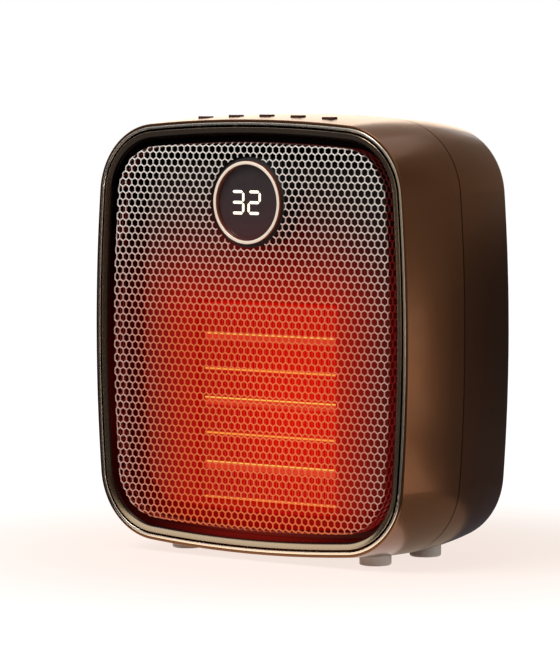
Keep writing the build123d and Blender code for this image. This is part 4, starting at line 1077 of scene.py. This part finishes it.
    def bent(self, tree: Tree, sheet: Socket, where: Socket, bend: Socket,
             reach: Socket) -> Socket:
        """Bend the sheet back past the end of its flat part, and end it at one depth.

        Args:
            tree: Geometry node tree.
            sheet: The flat sheet.
            where: Position field.
            bend: Radius of the bend in metres.
            reach: Length of the bend and of the straight part behind it.

        Returns:
            The geometry of the bent sheet.
        """
        free, way = self.edge(tree, where)
        past = add(tree, MATH, {"operation": "MINIMUM", 0: free, 1: reach}).outputs[0]
        depth = add(tree, "ShaderNodeSeparateXYZ", {0: where}).outputs["Y"]
        sunk = add(tree, MATH, {"operation": "SUBTRACT", 0: depth, 1: PLACE.rim_y * MM}).outputs[0]
        radius = add(tree, MATH, {"operation": "SUBTRACT", 0: bend, 1: sunk}).outputs[0]
        ratio = add(tree, MATH, {"operation": "DIVIDE", 0: past, 1: bend})
        turn = add(tree, MATH, {"operation": "MINIMUM", 0: ratio.outputs[0],
                                1: math.pi / 2}).outputs[0]
        legs = []
        for operation in ("SINE", "COSINE"):
            leg = add(tree, MATH, {"operation": operation, 0: turn})
            legs.append(add(tree, MATH, {"operation": "MULTIPLY", 0: radius,
                                         1: leg.outputs[0]}).outputs[0])
        back = add(tree, MATH, {"operation": "SUBTRACT", 0: bend, 1: legs[1]})
        straight = add(tree, MATH, {"operation": "MULTIPLY_ADD", 0: bend, 1: -math.pi / 2,
                                    2: past})
        run = add(tree, MATH, {"operation": "MAXIMUM", 0: 0.0, 1: straight.outputs[0]})
        inwards = add(tree, MATH, {"operation": "SUBTRACT", 0: legs[0], 1: free})
        aside = add(tree, VECTOR_MATH, {"operation": "SCALE", 0: way,
                                        "Scale": inwards.outputs[0]})
        total = add(tree, MATH, {"operation": "ADD", 0: back.outputs[0], 1: run.outputs[0]})
        rearwards = add(tree, MATH, {"operation": "SUBTRACT", 0: total.outputs[0], 1: sunk})
        move = add(tree, "ShaderNodeCombineXYZ", {"Y": rearwards.outputs[0]})
        offset = add(tree, VECTOR_MATH, {"operation": "ADD", 0: aside.outputs[0],
                                         1: move.outputs[0]})
        outside = add(tree, MATH, {"operation": "GREATER_THAN", 0: free, 1: 0.0})
        return add(tree, "GeometryNodeSetPosition", {"Geometry": sheet,
                                                     "Selection": outside.outputs[0],
                                                     "Offset": offset.outputs[0]}).outputs[0]

    def tree(self) -> Tree:
        """Build the tree that lays the cells, trims the sheet and bends its edge.

        The cells are realized before the bend, because it moves their points.

        Returns:
            The geometry node tree, with the sizes as named inputs.
        """
        tree = bpy.data.node_groups.new("perforated_sheet", "GeometryNodeTree")
        face = tree.interface
        face.new_socket("Geometry", in_out="OUTPUT", socket_type="NodeSocketGeometry")
        for name in ("Pitch", "Bend", "Skirt", "Display radius"):
            face.new_socket(name, in_out="INPUT", socket_type="NodeSocketFloat")
        for name in ("Cell", "Fine cell"):
            face.new_socket(name, in_out="INPUT", socket_type="NodeSocketObject")
        face.new_socket("Material", in_out="INPUT", socket_type="NodeSocketMaterial")
        enter = add(tree, "NodeGroupInput").outputs
        where = add(tree, "GeometryNodeInputPosition").outputs[0]
        laid = self.spots(tree, enter["Pitch"], where)

        straight = add(tree, MATH, {"operation": "SUBTRACT", 0: enter["Skirt"],
                                    1: enter["Bend"]})
        reach = add(tree, MATH, {"operation": "MULTIPLY_ADD", 0: enter["Bend"], 1: math.pi / 2,
                                 2: straight.outputs[0]}).outputs[0]
        limit = add(tree, MATH, {"operation": "ADD", 0: reach, 1: enter["Pitch"]})
        past, _ = self.edge(tree, where)
        off = add(tree, MATH, {"operation": "GREATER_THAN", 0: past, 1: limit.outputs[0]})
        from_pod = add(tree, VECTOR_MATH, {"operation": "DISTANCE", 0: where,
                                           1: PLACE.at(0.0, 0.0, self.pod_z)}).outputs["Value"]
        hidden = add(tree, MATH, {"operation": "SUBTRACT", 0: enter["Display radius"],
                                  1: enter["Pitch"]})
        in_pod = add(tree, MATH, {"operation": "LESS_THAN", 0: from_pod, 1: hidden.outputs[0]})
        unused = add(tree, MATH, {"operation": "ADD", 0: off.outputs[0], 1: in_pod.outputs[0]})
        kept = add(tree, "GeometryNodeDeleteGeometry", {"domain": "POINT", "Geometry": laid,
                                                        "Selection": unused.outputs[0]})

        near = add(tree, MATH, {"operation": "LESS_THAN", 0: from_pod,
                                1: self.fine_reach * MM}).outputs[0]
        far = add(tree, MATH, {"operation": "SUBTRACT", 0: 1.0, 1: near}).outputs[0]
        joined = add(tree, "GeometryNodeJoinGeometry")
        for cell, choice in ((enter["Cell"], far), (enter["Fine cell"], near)):
            info = add(tree, "GeometryNodeObjectInfo", {"Object": cell})
            copies = add(tree, "GeometryNodeInstanceOnPoints",
                         {"Points": kept.outputs[0], "Selection": choice,
                          "Instance": info.outputs["Geometry"]})
            tree.links.new(copies.outputs[0], joined.inputs[0])
        real = add(tree, "GeometryNodeRealizeInstances", {0: joined.outputs[0]})
        welded = add(tree, "GeometryNodeMergeByDistance", {"Geometry": real.outputs[0],
                                                           "Distance": self.weld * MM})
        opening = add(tree, MATH, {"operation": "LESS_THAN", 0: from_pod,
                                   1: enter["Display radius"]})
        cut = add(tree, "GeometryNodeDeleteGeometry", {"domain": "FACE",
                                                       "Geometry": welded.outputs[0],
                                                       "Selection": opening.outputs[0]})
        bent = self.bent(tree, cut.outputs[0], where, enter["Bend"], reach)
        dressed = add(tree, "GeometryNodeSetMaterial", {"Geometry": bent,
                                                        "Material": enter["Material"]})
        add(tree, "NodeGroupOutput", {0: dressed.outputs[0]})
        return tree

    def build(self, material: bpy.types.Material) -> bpy.types.Object:
        """Make the sheet, dress it and put it in place of its coarser CAD node.

        Args:
            material: Finish of the sheet.

        Returns:
            The finished sheet.
        """
        coarse, fine = self.cell(1), self.cell(self.fine_cuts)
        carrier = place_object("sheet_carrier", bpy.data.meshes.new("sheet_carrier"))
        modifier = carrier.modifiers.new("sheet", "NODES")
        modifier.node_group = self.tree()
        values = {"Pitch": self.pitch * MM, "Bend": self.bend * MM, "Skirt": self.skirt * MM,
                  "Display radius": self.pod_radius * MM, "Cell": coarse, "Fine cell": fine,
                  "Material": material}
        for socket in modifier.node_group.interface.items_tree:
            if socket.in_out == "INPUT":
                modifier[socket.identifier] = values[socket.name]
        sheet = plain_mesh(carrier, "perforated_sheet")
        for cell in (coarse, fine):
            bpy.data.objects.remove(cell)
        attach(sheet, "case")
        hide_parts("front_grille")
        return sheet


# Tones of the cards, sRGB hex
COOL = "c2d0f4"
GREY = "dedce8"


@dataclass(frozen=True)
class Flag:
    """Curved card round the heater, upright or flat on the floor, seen only in reflections.

    Attributes:
        name: Name of the card.
        start: Azimuth of one end in degrees, from +X towards +Y.
        end: Azimuth of the other end.
        low: Distance from the heater and height of one edge, in metres.
        high: Distance and height of the other edge.
        light: How bright it looks.
        tone: Colour of that light, sRGB hex.
        steps: Flat parts that the card is made of.
    """

    name: str
    start: float
    end: float
    low: tuple[float, float]
    high: tuple[float, float]
    light: float
    tone: str = "ffead4"
    steps: int = 24

    def build(self) -> None:
        """Make the card, which only reflections see."""
        points = []
        for k in range(self.steps + 1):
            turn = math.radians(self.start + (self.end - self.start) * k / self.steps)
            points += [(reach * math.cos(turn), reach * math.sin(turn), height)
                       for reach, height in (self.low, self.high)]
        faces = [(2 * k, 2 * k + 1, 2 * k + 3, 2 * k + 2) for k in range(self.steps)]
        mesh = bpy.data.meshes.new(self.name)
        mesh.from_pydata(points, [], faces)
        material = bpy.data.materials.new(self.name)
        tree = node_tree(material)
        light = add(tree, "ShaderNodeEmission", {"Color": linear(self.tone),
                                                 "Strength": self.light})
        add(tree, "ShaderNodeOutputMaterial", {"Surface": light.outputs[0]})
        mesh.materials.append(material)
        card = place_object(self.name, mesh)
        card.visible_camera = card.visible_diffuse = card.visible_shadow = False
        card.visible_transmission = card.visible_volume_scatter = False


@dataclass(frozen=True)
class SoftBox:
    """Rectangular lamp that points at the heater.

    Attributes:
        name: Name of the lamp.
        place: Where it hangs, in metres.
        size: Width and height of the box.
        power: Its power in watts.
        aim: What it points at.
    """

    name: str
    place: tuple[float, float, float]
    size: tuple[float, float]
    power: float
    aim: tuple[float, float, float] = (0.0, 0.0, 0.1)

    def build(self) -> None:
        """Hang the lamp."""
        data = bpy.data.lights.new(self.name, "AREA")
        data.shape = "RECTANGLE"
        data.size, data.size_y = self.size
        data.energy = self.power
        lamp = bpy.data.objects.new(self.name, data)
        lamp.location = Vector(self.place)
        way = Vector(self.aim) - lamp.location
        lamp.rotation_euler = way.to_track_quat("-Z", "Y").to_euler()
        bpy.context.scene.collection.objects.link(lamp)


@dataclass(frozen=True)
class Studio:
    """Pale floor, white surroundings, soft lamps and cards that shape the reflections.

    Attributes:
        floor_size: Length of each side of the floor, in metres.
        floor_light: How bright the camera sees the floor under the heater.
        floor_mirror: How bright reflections see the floor.
        glow_reach: Distances from the middle between which the painted warm glow of the core on
            the floor fades to white.
        sky: How bright the surroundings light the object.
        boxes: The lamps.
        flags: The cards.
    """

    floor_size: float = 8.0
    floor_light: float = 0.87
    floor_mirror: float = 0.9
    glow_reach: tuple[float, float] = (0.06, 0.32)
    sky: float = 0.3
    boxes: tuple[SoftBox, ...] = (
        SoftBox("key_box", (-0.5, -1.1, 1.5), (1.1, 1.1), 28.0),
        SoftBox("side_box", (1.07, 0.45, 0.2), (0.42, 0.9), 2.0),
    )
    flags: tuple[Flag, ...] = (
        # Cards that the lip and the trim mirror
        Flag("front_flag", -148.0, -119.0, (1.2, 0.001), (1.2, 0.26), 0.05, COOL),
        Flag("trim_card", -119.0, -111.0, (1.2, 0.001), (1.2, 0.26), 0.7),
        Flag("overhead_flag", -180.0, -112.0, (1.15, 0.62), (0.9, 1.7), 0.3, COOL),
        Flag("near_flag", -111.0, -78.0, (1.2, 0.001), (1.2, 0.9), 0.036, "e4b4ac"),
        Flag("left_front_card", -165.0, -148.0, (1.2, 0.001), (1.2, 0.6), 0.12, "e8dcd4"),
        Flag("front_card", -78.0, -54.0, (1.2, 0.001), (1.2, 0.9), 1.3),
        Flag("right_flag", -54.0, -20.0, (1.3, 0.001), (1.3, 0.9), 0.06),
        # Cards that the side, the top and the back of the case mirror
        Flag("side_card", -20.0, 41.0, (1.0, 0.001), (1.0, 0.085), 1.8),
        Flag("side_upper_card", -20.0, 49.0, (1.05, 0.09), (1.05, 1.05), 0.25),
        Flag("rear_flag", 41.0, 104.0, (1.08, 0.001), (1.08, 0.17), 0.045, GREY),
        Flag("rear_upper_card", 49.0, 104.0, (1.1, 0.17), (1.1, 1.05), 0.34),
        Flag("left_flag", 104.0, 195.0, (0.8, 0.001), (0.8, 0.17), 0.05),
        Flag("back_card", 112.0, 170.0, (1.0, 0.2), (1.0, 0.6), 2.3),
        Flag("back_upper_card", 95.0, 140.0, (1.0, 0.62), (1.0, 1.2), 0.55),
        # Cards on the floor, mirrored low on the case and the lip
        Flag("side_near_card", -10.0, 27.0, (0.02, 0.001), (0.2, 0.001), 0.45),
        Flag("side_mid_card", -10.0, 30.0, (0.2, 0.001), (0.5, 0.001), 1.5),
        Flag("side_floor_card", -10.0, 40.0, (0.5, 0.001), (1.0, 0.001), 1.5),
        Flag("side_near_flag", 27.0, 160.0, (0.02, 0.001), (0.2, 0.001), 0.14, GREY),
        Flag("side_mid_flag", 30.0, 160.0, (0.2, 0.001), (0.5, 0.001), 0.12, GREY),
        Flag("side_floor_flag", 40.0, 160.0, (0.5, 0.001), (1.2, 0.001), 0.08, GREY),
        Flag("front_floor_flag", -200.0, -10.0, (0.13, 0.001), (1.2, 0.001), 0.075, GREY),
        Flag("front_floor_card", -150.0, -40.0, (0.045, 0.0008), (0.13, 0.0008), 1.45),
    )

    def floor_material(self) -> bpy.types.Material:
        """Make a floor that is white to the camera and in reflections and keeps the shadow.

        Returns:
            The material, with a faint warm glow of the core painted on near the heater.
        """
        material = bpy.data.materials.new("pale_studio_floor")
        tree = node_tree(material)
        path = add(tree, "ShaderNodeLightPath")
        seen = path.outputs["Is Camera Ray"]
        paint = add(tree, MIX, {"data_type": "RGBA", SHARE: seen, FIRST: linear("f6f5f3"),
                                SECOND: linear("6e6d6c")})
        shader = add(tree, "ShaderNodeBsdfPrincipled",
                     {"Base Color": paint.outputs[MIXED], "Roughness": 0.9,
                      "Specular IOR Level": 0.0})
        coords = add(tree, "ShaderNodeTexCoord")
        reach = add(tree, VECTOR_MATH, {"operation": "LENGTH", 0: coords.outputs["Object"]})
        white = add(tree, MAP_RANGE, {"interpolation_type": "SMOOTHSTEP",
                                      "From Min": self.glow_reach[0],
                                      "From Max": self.glow_reach[1],
                                      "Value": reach.outputs["Value"]}).outputs[0]
        # Painted light: a faint warm glow of the core on the floor near the heater
        tone = add(tree, MIX, {"data_type": "RGBA", SHARE: white, FIRST: linear("fff0e8"),
                               SECOND: linear("ffffff")})
        bright = add(tree, MATH, {"operation": "MULTIPLY_ADD", 0: white,
                                  1: 1.0 - self.floor_light, 2: self.floor_light})
        mirror = add(tree, MATH, {"operation": "MAXIMUM", 0: path.outputs["Is Glossy Ray"],
                                  1: path.outputs["Is Transmission Ray"]})
        mirrored = add(tree, MATH, {"operation": "MULTIPLY", 0: mirror.outputs[0],
                                    1: self.floor_mirror})
        strength = add(tree, MATH, {"operation": "MULTIPLY_ADD", 0: seen, 1: bright.outputs[0],
                                    2: mirrored.outputs[0]})
        light = add(tree, "ShaderNodeEmission", {"Color": tone.outputs[MIXED],
                                                 "Strength": strength.outputs[0]})
        total = add(tree, "ShaderNodeAddShader", {0: shader.outputs[0], 1: light.outputs[0]})
        add(tree, "ShaderNodeOutputMaterial", {"Surface": total.outputs[0]})
        return material

    def floor(self) -> None:
        """Lay the floor."""
        mesh = bpy.data.meshes.new("floor")
        half = self.floor_size / 2
        corners = [(-half, -half, 0), (half, -half, 0), (half, half, 0), (-half, half, 0)]
        mesh.from_pydata(corners, [], [(0, 1, 2, 3)])
        mesh.materials.append(self.floor_material())
        floor = place_object("floor", mesh)

    def surroundings(self) -> None:
        """Make the world white to the camera and in reflections, and soft on the object."""
        world = bpy.data.worlds.new("studio")
        bpy.context.scene.world = world
        tree = node_tree(world)
        path = add(tree, "ShaderNodeLightPath")
        seen = path.outputs["Is Camera Ray"]
        for ray in ("Is Glossy Ray", "Is Transmission Ray"):
            seen = add(tree, MATH, {"operation": "MAXIMUM", 0: seen,
                                    1: path.outputs[ray]}).outputs[0]
        soft = add(tree, "ShaderNodeBackground", {"Color": linear("fdfcfa"),
                                                  "Strength": self.sky})
        white = add(tree, "ShaderNodeBackground", {"Color": linear("ffffff"), "Strength": 1.0})
        mixed = add(tree, "ShaderNodeMixShader", {0: seen, 1: soft.outputs[0],
                                                  2: white.outputs[0]})
        add(tree, "ShaderNodeOutputWorld", {0: mixed.outputs[0]})

    def build(self) -> None:
        """Set up the whole studio."""
        self.floor()
        self.surroundings()
        for item in self.flags + self.boxes:
            item.build()


@dataclass(frozen=True)
class PhotoCamera:
    """Camera at the photograph's viewing angle.

    Attributes:
        place: Where it stands, in metres.
        forward: The way it looks.
        lens: Focal length in millimetres on the sensor's width.
        sensor: Width of the sensor in millimetres.
        reach: Nearest and farthest distance that it sees, in metres.
    """

    place: Vector = Vector((0.9798, -1.317575, 0.2075))
    forward: Vector = Vector((-0.60056, 0.79696, -0.06444))
    lens: float = 204.62
    sensor: float = 36.0
    reach: tuple[float, float] = (0.05, 50.0)

    def build(self) -> None:
        """Make the camera and choose it for the scene."""
        data = bpy.data.cameras.new("photo_camera")
        data.lens = self.lens
        data.sensor_width = self.sensor
        data.clip_start, data.clip_end = self.reach
        forward = self.forward.normalized()
        right = forward.cross(Vector((0, 0, 1))).normalized()
        up = right.cross(forward)
        turn = Matrix((right, up, -forward)).transposed().to_4x4()
        camera = bpy.data.objects.new("photo_camera", data)
        camera.matrix_world = Matrix.Translation(self.place) @ turn
        bpy.context.scene.collection.objects.link(camera)
        bpy.context.scene.camera = camera


class Wardrobe:
    """Makes each finish once and dresses the CAD nodes by their material slot."""

    def __init__(self) -> None:
        """Build every finish."""
        self.materials = {slot: finish.build() for slot, finish in FINISHES.items()}
        self.special = {name: finish.build() for name, finish in SPECIAL.items()}

    def dress(self, name: str, node: bpy.types.Object) -> None:
        """Put the finish of its slot on a CAD node.

        Args:
            name: Name of the node.
            node: Its object, whose material slot is named after the record's slot.
        """
        for holder in node.material_slots:
            slot = Slot(holder.material.name.split(".")[0])
            holder.material = self.special.get(name, self.materials[slot])


def main() -> None:
    """Build the looks of the heater in order and report each piece."""
    logging.basicConfig(level=logging.INFO)
    bpy.context.scene.view_settings.view_transform = "Standard"
    PhotoCamera().build()
    Studio().build()
    wardrobe = Wardrobe()
    for name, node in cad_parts.items():
        wardrobe.dress(name, node)
        LOG.info("%s: dressed", name)
    for part, slot in ((FrontLip(), Slot.BEZEL), (FrontGrille(), Slot.GRILLE)):
        piece = part.build(wardrobe.materials[slot])
        LOG.info("%s: built, %d faces", piece.name, len(piece.data.polygons))


if __name__ == "__main__":
    main()
